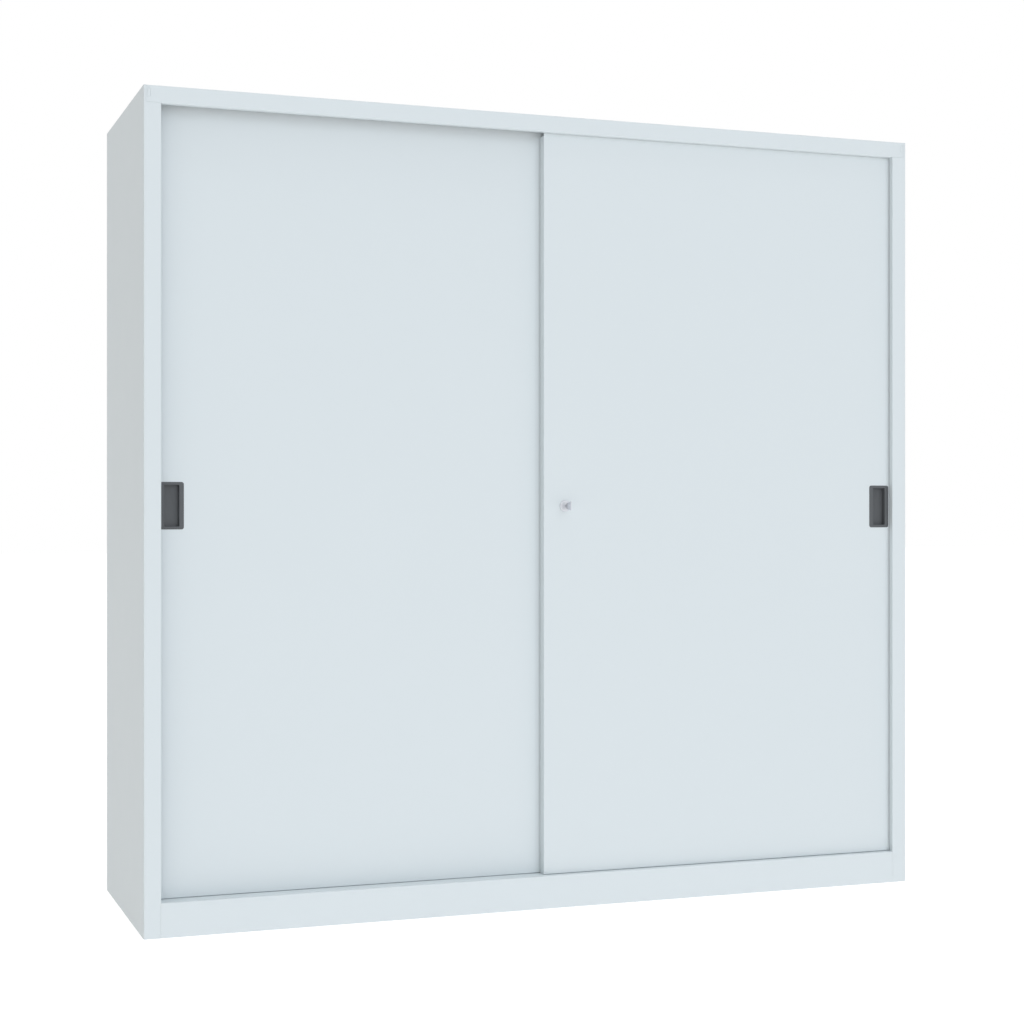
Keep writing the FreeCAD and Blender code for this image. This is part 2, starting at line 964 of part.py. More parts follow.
def foot_nuts():
    """Hexagon nuts welded under the brackets."""
    low, high = foot_rows()
    body = piece("foot_nuts", ZERO, low[0], size.bracket_height - size.nut_thickness)
    centre = side - size.foot_side_inset
    half = size.nut_radius / 2
    slant = size.nut_radius * math.sin(math.radians(60))
    outline = [
        (centre + size.nut_radius, ZERO),
        (centre + half, slant),
        (centre - half, slant),
        (centre - size.nut_radius, ZERO),
        (centre - half, -slant),
        (centre + half, -slant),
    ]
    nut = pad(body, "Nut", polygon(body, "Outline", "XY_Plane", outline), size.nut_thickness)
    bore = cut_bore(
        body,
        "Thread",
        "XY_Plane",
        centre,
        ZERO,
        size.stud_radius + size.bore_play,
        size.nut_thickness + PAST,
        size.nut_thickness + 2 * PAST,
    )
    rows = [("Y_Axis", 2, high[0] - low[0])]
    repeated(body, "Nuts", [nut, bore], rows, "YZ_Plane")


def foot(hand, side_name, depth, depth_name):
    """A glide disc on a stud, drawn up until the disc is level with the base."""
    x = (side - size.foot_side_inset) * hand
    body = piece(f"foot_{depth_name}_{side_name}", x, depth)
    chamfer = size.foot_chamfer
    outline = [
        (ZERO, ZERO),
        (size.foot_radius - chamfer, ZERO),
        (size.foot_radius, chamfer),
        (size.foot_radius, size.foot_thickness - chamfer),
        (size.foot_radius - chamfer, size.foot_thickness),
        (size.stud_radius, size.foot_thickness),
        (size.stud_radius, size.stud_top),
        (ZERO, size.stud_top),
    ]
    turned(body, "Foot", outline, "XZ_Plane")


# Tracks and floor guide


def track(name, face):
    """A folded channel under the top sheet, with an upturned lip for the rollers."""
    steel = size.track_steel
    body = piece(f"{name}_track", ZERO, face, under_top)
    end = inside - size.seam_gap
    wall = size.track_setback
    drop = under_top - track_low
    lip_front = roller_place - steel / 2
    lip_back = roller_place + steel / 2
    section = [
        (wall, ZERO),
        (wall + size.track_flange, ZERO),
        (wall + size.track_flange, -steel),
        (wall + steel, -steel),
        (wall + steel, steel - drop),
        (lip_front, steel - drop),
        (lip_front, lip_top - under_top),
        (lip_back, lip_top - under_top),
        (lip_back, -drop),
        (wall, -drop),
    ]
    pad(body, "Channel", polygon(body, "Section", "YZ_Plane", section, -end), end * 2)


def track_buffers(name, face, positions):
    """Rubber blocks in the track that stop the rollers; each faces along +X or -X."""
    steel = size.track_steel
    body = piece(f"{name}_track_buffers", ZERO, face, track_low + steel)
    height = under_top - track_low - steel * 2 - size.buffer_head_gap
    low_y = size.track_setback + steel
    high_y = roller_place - steel / 2 - size.seam_gap
    for number, (roller, hand) in enumerate(positions):
        near = roller + (size.roller_radius + size.buffer_gap) * hand
        far = near + size.buffer_length * hand
        ends = [near, far][::hand]
        add_box(body, f"Buffer{number}", (ends[0], low_y, ZERO), (ends[1], high_y, height))


def floor_guide():
    """A nylon block under the ledge, with a fin for each door's channel."""
    under_ledge = ledge - size.steel
    body = piece("floor_guide", ZERO, front_face, under_ledge)
    half = size.guide_base_length / 2
    rear = rear_face - front_face
    add_box(
        body,
        "Base",
        (-half, ZERO, -size.guide_base_thickness),
        (half, rear + channel_front + size.channel_width, ZERO),
    )
    fin_half = size.fin_length / 2
    fin_top = door_low + size.channel_height - size.fin_head_gap - under_ledge
    corners = []
    for face, name in ((ZERO, "Front"), (rear, "Rear")):
        low, high = fin_depth(face)
        add_box(body, f"Fin{name}", (-fin_half, low, ZERO), (fin_half, high, fin_top))
        for y in (low, high):
            corners.append({"x": -fin_half, "y": y})
            corners.append({"x": fin_half, "y": y})
    rounded(body, "FinCorners", size.fin_corner, *corners)


# Doors


def door_panel(name, left, face, hand):
    """A pan of folded sheet, open at the back; hand is the side that its pull is on."""
    steel = size.steel
    body = piece(f"{name}_door_panel", left, face, door_low)
    width, height, depth = door_width, door_height, size.door_thickness
    flange = size.door_flange
    add_box(body, "Block", (ZERO, ZERO, ZERO), (width, depth, height))
    rounded(
        body,
        "FrontEdges",
        size.door_edge_radius,
        {"x": ZERO, "y": ZERO},
        {"x": width, "y": ZERO},
        {"y": ZERO, "z": ZERO},
        {"y": ZERO, "z": height},
    )
    cut_box(
        body,
        "Hollow",
        (steel, steel, steel),
        (width - steel, depth - steel, height - steel),
    )
    cut_box(
        body,
        "BackOpening",
        (flange, depth - steel * 2, flange),
        (width - flange, depth + PAST, height - flange),
    )
    seat = size.steel - size.channel_seat
    cut_box(
        body,
        "GuideSlot",
        (steel, channel_front + seat, as_size(-PAST)),
        (width - steel, channel_front + size.channel_width - seat, steel * 2),
    )
    relief_low = height - size.door_relief
    for x, end in ((as_size(-PAST), "Left"), (width - steel, "Right")):
        cut_box(
            body,
            f"Relief{end}",
            (x, steel, relief_low),
            (x + steel + PAST, depth + PAST, height + PAST),
        )
    slot_half = size.hanger_width / 2 + size.hanger_slot_gap
    for number, x in enumerate(hanger_places()):
        cut_box(
            body,
            f"HangerSlot{number}",
            (x - slot_half, hanger_face - size.hanger_slot_gap, height - steel * 2),
            (x + slot_half, door_back_sheet, height + PAST),
        )
        for bolt, shift in enumerate(bolt_places()):
            cut_bore(
                body,
                f"BoltHole{number}{bolt}",
                "XZ_Plane",
                x + shift,
                height - size.bolt_drop,
                size.bolt_radius + size.bolt_hole_gap,
                -(depth - steel * 2),
                depth,
            )
    pull = pull_place(hand)
    half_width, half_length = cup_half_width() + size.cup_gap, cup_half_length() + size.cup_gap
    middle = size.pull_height - door_low
    cut_box(
        body,
        "PullOpening",
        (pull - half_width, as_size(-PAST), middle - half_length),
        (pull + half_width, steel * 2, middle + half_length),
    )
    if hand == RIGHT:
        cut_bore(
            body,
            "LockHole",
            "XZ_Plane",
            size.lock_inset,
            middle,
            size.housing_radius + size.lock_hole_gap,
            as_size(PAST),
            steel * 2 + PAST,
        )


def hanger_places():
    """The middles of the two hangers, from a door's left edge."""
    return (size.hanger_inset, door_width - size.hanger_inset)


def bolt_places():
    return (-size.bolt_spacing / 2, size.bolt_spacing / 2)


def pull_place(hand):
    """The middle of the pull, from a door's left edge."""
    return door_width - size.pull_inset if hand == RIGHT else size.pull_inset


def guide_channel(name, left, face):
    """A channel open below, seated on the two lips of the door's bottom return."""
    steel = size.steel
    body = piece(f"{name}_door_guide_channel", left, face + channel_front, door_low + steel)
    width, height = size.channel_width, size.channel_height
    section = [
        (ZERO, ZERO),
        (ZERO, height),
        (width, height),
        (width, ZERO),
        (width - steel, ZERO),
        (width - steel, height - steel),
        (steel, height - steel),
        (steel, ZERO),
    ]
    start = steel + size.seam_gap
    sketch = polygon(body, "Section", "YZ_Plane", section, start)
    pad(body, "Channel", sketch, door_width - start * 2)


def stiffener(name, left, face):
    """A hat section bonded up the middle of the door's inner face."""
    steel = size.steel
    low = door_low + size.door_flange + size.stiffener_end_gap / 2
    body = piece(f"{name}_door_stiffener", left + door_width / 2, face + steel, low)
    half = size.stiffener_width / 2
    depth = size.stiffener_depth
    edge = half + size.stiffener_flange
    section = [
        (-edge, ZERO),
        (steel - half, ZERO),
        (steel - half, depth - steel),
        (half - steel, depth - steel),
        (half - steel, ZERO),
        (edge, ZERO),
        (edge, steel),
        (half, steel),
        (half, depth),
        (-half, depth),
        (-half, steel),
        (-edge, steel),
    ]
    height = door_height - size.door_flange * 2 - size.stiffener_end_gap
    pad(body, "Hat", polygon(body, "Section", "XY_Plane", section), height)


def hangers(name, left, face):
    """Two plates inside the door's top flange that reach up to the roller axles."""
    start, end = hanger_places()
    body = piece(f"{name}_door_hangers", left + start, face + door_back_sheet, door_high)
    half = size.hanger_width / 2
    head = size.hanger_head_width / 2
    low = size.steel - size.door_flange
    high = roller_height - door_high + size.hanger_head_rise
    shoulder = size.track_gap
    outline = [
        (-half, low),
        (half, low),
        (half, shoulder),
        (head, high),
        (-head, high),
        (-half, shoulder),
    ]
    plate = pad(body, "Plate", polygon(body, "Outline", "XZ_Plane", outline), size.hanger_steel)
    holes = [
        cut_bore(
            body,
            f"BoltHole{number}",
            "XZ_Plane",
            shift,
            -size.bolt_drop,
            size.bolt_radius + size.bolt_hole_gap,
            size.hanger_steel + PAST,
            size.hanger_steel + 2 * PAST,
        )
        for number, shift in enumerate(bolt_places())
    ]
    row_of(body, "Pair", [plate] + holes, "X_Axis", 2, end - start)


def hanger_bolts(name, left, face):
    """Two bolts through each hanger and the door's top flange, their ends flush."""
    start, end = hanger_places()
    first, second = bolt_places()
    body = piece(
        f"{name}_hanger_bolts",
        left + start + first,
        face + hanger_face,
        door_high - size.bolt_drop,
    )
    outline = [
        (ZERO, -size.bolt_head_thickness),
        (size.bolt_head_radius, -size.bolt_head_thickness),
        (size.bolt_head_radius, ZERO),
        (size.bolt_radius, ZERO),
        (size.bolt_radius, size.hanger_steel + size.steel),
        (ZERO, size.hanger_steel + size.steel),
    ]
    bolt = turned(body, "Bolt", outline)
    rows = [("X_Axis", 2, second - first), ("X_Axis", 2, end - start)]
    repeated(body, "Bolts", [bolt], rows)


def roller(name, end_name, x, face):
    """A grooved nylon wheel that runs on the lip of the track."""
    body = piece(f"{name}_roller_{end_name}", x, face + roller_place, roller_height)
    bore = size.axle_radius + size.bore_play
    half = size.roller_width / 2
    chamfer = size.roller_chamfer
    groove = size.groove_width / 2
    flare = groove + size.groove_flare
    outline = [
        (bore, -half),
        (size.roller_radius - chamfer, -half),
        (size.roller_radius, chamfer - half),
        (size.roller_radius, -flare),
        (size.groove_radius, -groove),
        (size.groove_radius, groove),
        (size.roller_radius, flare),
        (size.roller_radius, half - chamfer),
        (size.roller_radius - chamfer, half),
        (bore, half),
    ]
    turned(body, "Wheel", outline)


def roller_axles(name, left, face):
    """Two headed pins, one on the front of each hanger."""
    start, end = hanger_places()
    body = piece(f"{name}_roller_axles", left + start, face + roller_place, roller_height)
    seat = size.roller_width / 2 + size.roller_side_gap
    head = seat + size.axle_head_thickness
    outline = [
        (ZERO, seat),
        (size.axle_radius, seat),
        (size.axle_radius, -seat),
        (size.axle_head_radius, -seat),
        (size.axle_head_radius, -head),
        (ZERO, -head),
    ]
    axle = turned(body, "Axle", outline)
    row_of(body, "Pair", [axle], "X_Axis", 2, end - start)


# Recessed pulls


def cup_half_width():
    return size.recess_width / 2 + size.cup_wall


def cup_half_length():
    return size.recess_length / 2 + size.cup_wall


def pull_cup(name, left, face, hand):
    """A rim that lies on the door's face, and a cup sunk behind it."""
    body = piece(f"{name}_pull_cup", left + pull_place(hand), face, size.pull_height)
    half_width, half_length = size.pull_width / 2, size.pull_length / 2
    add_box(
        body,
        "Rim",
        (-half_width, -size.pull_rim, -half_length),
        (half_width, ZERO, half_length),
    )
    rounded(
        body,
        "RimCorners",
        size.pull_corner,
        {"x": -half_width, "z": -half_length},
        {"x": -half_width, "z": half_length},
        {"x": half_width, "z": -half_length},
        {"x": half_width, "z": half_length},
    )
    cup_width, cup_length = cup_half_width(), cup_half_length()
    add_box(
        body,
        "Cup",
        (-cup_width, ZERO, -cup_length),
        (cup_width, size.recess_depth + size.cup_wall - size.pull_rim, cup_length),
    )
    recess_width, recess_length = size.recess_width / 2, size.recess_length / 2
    cut_box(
        body,
        "Recess",
        (-recess_width, -size.pull_rim - PAST, -recess_length),
        (recess_width, size.recess_depth - size.pull_rim, recess_length),
    )
    rounded(
        body,
        "RecessCorners",
        size.recess_corner,
        {"x": -recess_width, "z": -recess_length},
        {"x": -recess_width, "z": recess_length},
        {"x": recess_width, "z": -recess_length},
        {"x": recess_width, "z": recess_length},
    )
    rounded(body, "RimRound", size.pull_rim_round, {"y": -size.pull_rim})
    rounded(body, "FloorRound", size.recess_floor_round, {"y": size.recess_depth - size.pull_rim})


# Lock, in the front door


def lock_piece(label):
    return piece(label, front_left + size.lock_inset, front_face, size.pull_height)


def barrel_front():
    """Where the barrel's front stands, counted back from the door's face."""
    return -size.rosette_thickness - size.barrel_proud


def lock_housing():
    """The rosette on the door's face and the sleeve behind it."""
    body = lock_piece("lock_housing")
    bore = size.barrel_radius + size.bore_play
    flat_radius = larger(size.rosette_radius - size.rosette_bevel, bore + size.seam_gap)
    outline = [
        (bore, -size.rosette_thickness),
        (flat_radius, -size.rosette_thickness),
        (size.rosette_radius, -size.rosette_rim),
        (size.rosette_radius, ZERO),
        (size.housing_radius, ZERO),
        (size.housing_radius, size.housing_length),
        (size.latch_radius + size.bore_play, size.housing_length),
        (size.latch_radius + size.bore_play, size.housing_length - size.housing_end),
        (bore, size.housing_length - size.housing_end),
    ]
    turned(body, "Housing", outline)


def lock_nut():
    """The ring nut that holds the housing against the inside of the door's face."""
    body = lock_piece("lock_nut")
    inner = size.housing_radius + size.bore_play
    start = size.steel
    outline = [
        (inner, start),
        (size.lock_nut_radius, start),
        (size.lock_nut_radius, start + size.lock_nut_thickness),
        (inner, start + size.lock_nut_thickness),
    ]
    turned(body, "Ring", outline)


def lock_barrel():
    """The part that is pressed in, bored for the plug."""
    body = lock_piece("lock_barrel")
    start = barrel_front()
    bore = size.plug_radius + size.bore_play
    bore_end = start + size.plug_length
    outline = [
        (bore, start),
        (size.barrel_radius, start),
        (size.barrel_radius, start + size.barrel_length),
        (ZERO, start + size.barrel_length),
        (ZERO, bore_end),
        (bore, bore_end),
    ]
    turned(body, "Barrel", outline)


def lock_latch():
    """The round latch on the barrel's end, its tip just inside the door's back."""
    body = lock_piece("lock_latch")
    start = barrel_front() + size.barrel_length
    end = size.door_thickness - size.latch_setback
    outline = [
        (ZERO, start),
        (size.latch_radius, start),
        (size.latch_radius, end),
        (ZERO, end),
    ]
    turned(body, "Latch", outline)


def lock_plug():
    """The core that the key turns, with its keyway."""
    body = lock_piece("lock_plug")
    start = barrel_front() - size.plug_proud
    end = barrel_front() + size.plug_length - size.seam_gap
    outline = [
        (ZERO, start),
        (size.plug_radius, start),
        (size.plug_radius, end),
        (ZERO, end),
    ]
    turned(body, "Plug", outline)
    half_width = size.key_thickness / 2 + size.keyway_gap
    half_height = size.blade_height / 2 + size.keyway_gap
    cut_box(
        body,
        "Keyway",
        (-half_width, start - PAST, -half_height),
        (half_width, start + size.keyway_depth, half_height),
    )


def key():
    """A flat key: blade in the keyway, neck against the plug, and a bow that flares out."""
    body = lock_piece("key")
    start = barrel_front() - size.plug_proud
    tip = start + size.keyway_depth - size.seam_gap
    blade, neck = size.blade_height / 2, size.neck_height / 2
    root, wide = size.bow_root_height / 2, size.bow_height / 2
    bow_start = start - size.neck_length
    bow_end = bow_start - size.bow_length
    outline = [
        (tip, -blade),
        (tip, blade),
        (start, blade),
        (start, neck),
        (bow_start, neck),
        (bow_start, root),
        (bow_end, wide),
        (bow_end, -wide),
        (bow_start, -root),
        (bow_start, -neck),
        (start, -neck),
        (start, -blade),
    ]
    half = size.key_thickness / 2
    pad(body, "Blank", polygon(body, "Outline", "YZ_Plane", outline, -half), size.key_thickness)
    rounded(
        body,
        "BowCorners",
        size.bow_corner,
        {"y": bow_end, "z": wide},
        {"y": bow_end, "z": -wide},
    )
    cut_bore(
        body,
        "RingHole",
        "YZ_Plane",
        bow_end + size.bow_hole_inset,
        ZERO,
        size.bow_hole_radius,
        half + PAST,
        size.key_thickness + 2 * PAST,
    )


def strike_plate():
    """An angle on the rear door's right edge, with the hole that the latch enters."""
    steel = size.strike_steel
    body = piece("strike_plate", rear_left + door_width, rear_face, size.pull_height)
    latch = front_left + size.lock_inset - (rear_left + door_width)
    reach = latch + size.strike_margin
    half = size.strike_height / 2
    start = size.seam_gap
    section = [
        (ZERO, start),
        (reach, start),
        (reach, start + steel),
        (steel, start + steel),
        (steel, start + size.strike_leg),
        (ZERO, start + size.strike_leg),
    ]
    sketch = polygon(body, "Section", "XY_Plane", section, -half)
    pad(body, "Angle", sketch, size.strike_height)
    cut_bore(
        body,
        "LatchHole",
        "XZ_Plane",
        latch,
        ZERO,
        size.strike_hole_radius,
        as_size(PAST),
        steel + size.seam_gap + 2 * PAST,
    )


# Build

front_left = -(size.door_overlap / 2)
rear_left = size.door_overlap / 2 - door_width

for hand, name in SIDES:
    side_panel(hand, name)
    back_panel(hand, name)
top_panel()
plinth()
bottom_panel()
centre_partition()
for hand, name in SIDES:
    uprights(f"shelf_uprights_{name}_wall", inside * hand, -hand)
    uprights(f"shelf_uprights_partition_{name}", size.steel * hand, hand)
    shelf_clips(hand, name)
    for number in range(1, SHELVES_PER_BAY + 1):
        shelf(hand, name, number)
foot_brackets()
foot_nuts()
for hand, side_name in SIDES:
    for depth, depth_name in foot_rows():
        foot(hand, side_name, depth, depth_name)

DOORS = (
    ("front", front_left, front_face, RIGHT, size.front_travel),
    ("rear", rear_left, rear_face, LEFT, size.rear_travel),
)
for name, left, face, hand, travel in DOORS:
    first, second = (left + place for place in hanger_places())
    leading, trailing = (second, first) if hand == RIGHT else (first, second)
    track(name, face)
    track_buffers(name, face, ((leading, hand), (trailing - travel * hand, -hand)))
    door_panel(name, left, face, hand)
    guide_channel(name, left, face)
    stiffener(name, left, face)
    hangers(name, left, face)
    hanger_bolts(name, left, face)
    roller(name, "left", first, face)
    roller(name, "right", second, face)
    roller_axles(name, left, face)
    pull_cup(name, left, face, hand)
floor_guide()
lock_housing()
lock_nut()
lock_barrel()
lock_latch()
lock_plug()
key()
strike_plate()

# Check everything, then write one file for each piece

doc.recompute()
for thing in doc.Objects:
    if "Invalid" in thing.State or "Error" in thing.State:
        raise RuntimeError(f"{thing.Label} is {thing.State}")
for body in parts:
    if body.Shape.isNull() or not body.Shape.isValid() or not body.Shape.Solids:
        raise RuntimeError(f"{body.Label} has no sound shape")

os.makedirs("parts", exist_ok=True)
for body in parts:
    body.Shape.exportStep(os.path.join("parts", body.Label + ".step"))
print(f"{len(parts)} pieces written")
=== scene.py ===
# %% [markdown]
# # A steel cupboard with two sliding doors
#
# The cupboard is folded from one-millimetre sheet steel, welded, powder coated in a cool
# pale grey, and fitted with nylon rollers, dark moulded pulls and a small cylinder lock.
# Its sheets, tracks, shelves and joints come from an engineering model at their real size.
# Here that model gets its finishes, and the small turned and moulded pieces, which an
# engineering model keeps plain, are modelled again with their true edges.

# %% The engineering model, loaded as a fixed frame
import json
from math import copysign, cos, pi, radians, sin, tau

import bmesh
import bpy
from mathutils import Matrix, Vector


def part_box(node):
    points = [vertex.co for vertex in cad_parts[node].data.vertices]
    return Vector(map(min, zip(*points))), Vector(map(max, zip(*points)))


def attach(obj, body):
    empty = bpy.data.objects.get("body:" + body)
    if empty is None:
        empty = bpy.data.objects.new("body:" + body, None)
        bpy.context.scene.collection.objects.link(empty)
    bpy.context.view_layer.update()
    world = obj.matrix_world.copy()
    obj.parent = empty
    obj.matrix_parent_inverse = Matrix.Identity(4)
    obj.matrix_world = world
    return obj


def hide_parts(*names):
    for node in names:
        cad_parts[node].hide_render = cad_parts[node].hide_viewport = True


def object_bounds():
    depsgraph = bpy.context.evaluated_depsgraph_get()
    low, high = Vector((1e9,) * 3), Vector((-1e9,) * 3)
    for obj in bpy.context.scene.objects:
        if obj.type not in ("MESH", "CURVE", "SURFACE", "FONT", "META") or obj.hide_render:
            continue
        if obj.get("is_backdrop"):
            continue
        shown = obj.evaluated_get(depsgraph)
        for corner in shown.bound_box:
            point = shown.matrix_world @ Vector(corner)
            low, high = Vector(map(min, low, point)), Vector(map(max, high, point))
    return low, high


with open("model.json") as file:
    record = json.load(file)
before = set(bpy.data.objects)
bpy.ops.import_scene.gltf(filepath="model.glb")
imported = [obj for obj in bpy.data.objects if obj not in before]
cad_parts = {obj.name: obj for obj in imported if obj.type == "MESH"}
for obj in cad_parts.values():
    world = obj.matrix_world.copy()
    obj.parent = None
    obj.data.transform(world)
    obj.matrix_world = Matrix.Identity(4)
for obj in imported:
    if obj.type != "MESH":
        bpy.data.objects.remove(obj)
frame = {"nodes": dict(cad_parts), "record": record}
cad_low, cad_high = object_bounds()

nodes = frame["nodes"]
record = frame["record"]
members_of_body = record["behaviour"]["bodies"]
body_of_node = {node: body for body, members in members_of_body.items() for node in members}
slot_of_node = {part["node"]: part["material_slot"] for part in record["subparts"]}
print(f"{len(nodes)} nodes, {[round(side, 3) for side in cad_high - cad_low]} m over all")

# %% [markdown]
# ## Camera
#
# A catalogue picture of furniture keeps its upright lines upright. So the camera is level:
# it is turned 20 degrees to the right and never tilted, at half the cupboard's height.
# A long lens from almost five metres keeps the near side from looking too large.

# %% The camera
CAMERA_PLACE = Vector((-1.678, -4.617, 0.975))
CAMERA_TURN = radians(20.0)
LENS_MM = 66.15
SENSOR_MM = 36.0

camera_data = bpy.data.cameras.new("catalogue_camera")
camera_data.lens = LENS_MM
camera_data.sensor_width = SENSOR_MM
camera = bpy.data.objects.new("catalogue_camera", camera_data)
camera.location = CAMERA_PLACE
camera.rotation_euler = (pi / 2, 0.0, -CAMERA_TURN)
bpy.context.scene.collection.objects.link(camera)
bpy.context.scene.camera = camera
bpy.context.scene.view_settings.view_transform = "Standard"
print("camera", tuple(round(c, 3) for c in camera.location))

# %% [markdown]
# ## Light
#
# Flat steel faces show every change in the light, so they need light that is the same all
# over them. Lamps at a fixed distance would fade across a two-metre door. A sun lamp doesn't
# fade, and a wide angle makes its shadows as soft as those of a large studio box. So two cool
# boxes stand one over the other in front, a little to the right, which softens the shade
# under the rail and beside the posts, and a third hangs overhead. An even sky and a pale
# glowing floor, as on a light table, fill the rest. The sky lights the cupboard at one
# strength, and what the camera and the glossy reflections see of it is plain white. The boxes
# themselves are left out of reflections, so that nickel and fresh zinc mirror the white room
# and don't burn.

# %% Sky and studio boxes
WHITE = (1.0, 1.0, 1.0, 1.0)
SKY_COLOR = (1.0, 1.0, 0.955, 1.0)
SKY_STRENGTH = 0.295
COOL = (0.845, 0.91, 1.0)
OVERHEAD_COOL = (0.95, 0.98, 1.0)


def seen_directly(tree):
    """1 where a ray comes from the camera, a reflection or a refraction, and 0 elsewhere."""
    path = tree.nodes.new("ShaderNodeLightPath")
    total = path.outputs["Is Camera Ray"]
    for other in ("Is Glossy Ray", "Is Transmission Ray"):
        adder = tree.nodes.new("ShaderNodeMath")
        adder.operation = "MAXIMUM"
        tree.links.new(total, adder.inputs[0])
        tree.links.new(path.outputs[other], adder.inputs[1])
        total = adder.outputs[0]
    return total


world = bpy.data.worlds.new("studio")
world.use_nodes = True
bpy.context.scene.world = world
tree = world.node_tree
sky = tree.nodes["Background"]
sky.inputs["Color"].default_value = SKY_COLOR
sky.inputs["Strength"].default_value = SKY_STRENGTH
backdrop = tree.nodes.new("ShaderNodeBackground")
backdrop.inputs["Color"].default_value = WHITE
choice = tree.nodes.new("ShaderNodeMixShader")
tree.links.new(seen_directly(tree), choice.inputs[0])
tree.links.new(sky.outputs[0], choice.inputs[1])
tree.links.new(backdrop.outputs[0], choice.inputs[2])
tree.links.new(choice.outputs[0], tree.nodes["World Output"].inputs["Surface"])


def studio_box(name, azimuth, elevation, strength, color, spread):
    """A soft, far lamp: azimuth 0 stands in front of the cupboard and 90 on its right."""
    lamp = bpy.data.lights.new(name, "SUN")
    lamp.energy = strength
    lamp.color = color
    lamp.angle = radians(spread)
    box = bpy.data.objects.new(name, lamp)
    turn, rise = radians(azimuth), radians(elevation)
    towards = Vector((sin(turn) * cos(rise), -cos(turn) * cos(rise), sin(rise)))
    box.rotation_euler = towards.to_track_quat("Z", "Y").to_euler()
    box.visible_glossy = False
    bpy.context.scene.collection.objects.link(box)
    print(f"{name}: {strength} from azimuth {azimuth}, elevation {elevation}")


studio_box("low_box", 12, 9, 0.82, COOL, spread=50.0)
studio_box("high_box", 12, 46, 0.57, COOL, spread=60.0)
studio_box("overhead_box", 0, 88, 1.05, OVERHEAD_COOL, spread=45.0)

# %% [markdown]
# ## Floor
#
# The floor is a wide pale sheet that scatters light and glows a little, like a light table. It
# keeps the cupboard's soft shadow, since only its scattered part is shaded. For the camera and
# for reflections a touch more glow is added, so that away from the shadow it is as white as
# the backdrop.

# %% The floor
FLOOR_HALF = 40.0
FLOOR_DROP = 0.0003
FLOOR_COLOR = (0.35, 0.35, 0.35, 1.0)
FLOOR_GLOW = 0.82
EXTRA_GLOW = 0.03

bm = bmesh.new()
bmesh.ops.create_grid(bm, x_segments=1, y_segments=1, size=FLOOR_HALF)
bmesh.ops.translate(bm, verts=bm.verts, vec=(0.0, 0.0, -FLOOR_DROP))
floor_mesh = bpy.data.meshes.new("studio_floor")
bm.to_mesh(floor_mesh)
bm.free()
floor = bpy.data.objects.new("studio_floor", floor_mesh)
bpy.context.scene.collection.objects.link(floor)
floor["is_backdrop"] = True

floor_material = bpy.data.materials.new("studio_floor")
floor_material.use_nodes = True
tree = floor_material.node_tree
tree.nodes.remove(tree.nodes["Principled BSDF"])
matte = tree.nodes.new("ShaderNodeBsdfDiffuse")
matte.inputs["Color"].default_value = FLOOR_COLOR
glow = tree.nodes.new("ShaderNodeEmission")
glow.inputs["Color"].default_value = WHITE
brightness = tree.nodes.new("ShaderNodeMath")
brightness.operation = "MULTIPLY_ADD"
brightness.inputs[1].default_value = EXTRA_GLOW
brightness.inputs[2].default_value = FLOOR_GLOW
tree.links.new(seen_directly(tree), brightness.inputs[0])
tree.links.new(brightness.outputs[0], glow.inputs["Strength"])
both = tree.nodes.new("ShaderNodeAddShader")
tree.links.new(matte.outputs[0], both.inputs[0])
tree.links.new(glow.outputs[0], both.inputs[1])
tree.links.new(both.outputs[0], tree.nodes["Material Output"].inputs["Surface"])
floor_mesh.materials.append(floor_material)
print("floor", 2 * FLOOR_HALF, "m across")

# %% [markdown]
# ## Building blocks for the finishes
#
# Every finish below is made of the same few ideas: a pattern measured on the piece itself
# (Object coordinates, in metres), a change of colour between two tones, a roughness that
# wanders a little, and a bump. Numbers that are the same all over a piece are set on the
# shader itself, and only what really varies is wired in.


# %% A material and its nodes
def new_finish(name, color, roughness, metallic=0.0):
    """A material whose plain numbers are on its shader, with its tree and the shader."""
    material = bpy.data.materials.new(name)
    material.use_nodes = True
    shader = material.node_tree.nodes["Principled BSDF"]
    shader.inputs["Base Color"].default_value = (*color, 1.0)
    shader.inputs["Roughness"].default_value = roughness
    shader.inputs["Metallic"].default_value = metallic
    return material, material.node_tree, shader


def node(tree, kind, inputs=None, **settings):
    """A new node with its settings and the values of its inputs."""
    made = tree.nodes.new(kind)
    for name, value in settings.items():
        setattr(made, name, value)
    for name, value in (inputs or {}).items():
        made.inputs[name].default_value = value
    return made


def place_on_piece(tree, centre=(0.0, 0.0, 0.0), stretch=(1.0, 1.0, 1.0)):
    """A point of the piece in metres, counted from a centre and stretched along its axes."""
    coordinates = node(tree, "ShaderNodeTexCoord")
    mapping = node(tree, "ShaderNodeMapping", {"Scale": stretch})
    mapping.inputs["Location"].default_value = [-c * s for c, s in zip(centre, stretch)]
    tree.links.new(coordinates.outputs["Object"], mapping.inputs["Vector"])
    return mapping.outputs["Vector"]


# %% [markdown]
# Two patterns do most of the work. Noise is a soft cloud, and Voronoi cells have borders. Both
# take the point in metres, so a scale of 100 gives features about a centimetre across.


# %% Two patterns
def cloud(tree, place, scale, detail=2.0):
    """Soft noise from 0 to 1, with this many features to the metre."""
    made = node(tree, "ShaderNodeTexNoise", {"Scale": scale, "Detail": detail})
    tree.links.new(place, made.inputs["Vector"])
    return made.outputs["Fac"]


def cells(tree, place, scale, feature="F1"):
    """Rounded cells, as in moulded grain or zinc crystals."""
    made = node(tree, "ShaderNodeTexVoronoi", {"Scale": scale}, feature=feature)
    tree.links.new(place, made.inputs["Vector"])
    return made


# %% [markdown]
# A Map Range node moves a pattern from 0 to 1 into the range that the shader needs, and a Mix
# node blends two colours by it.


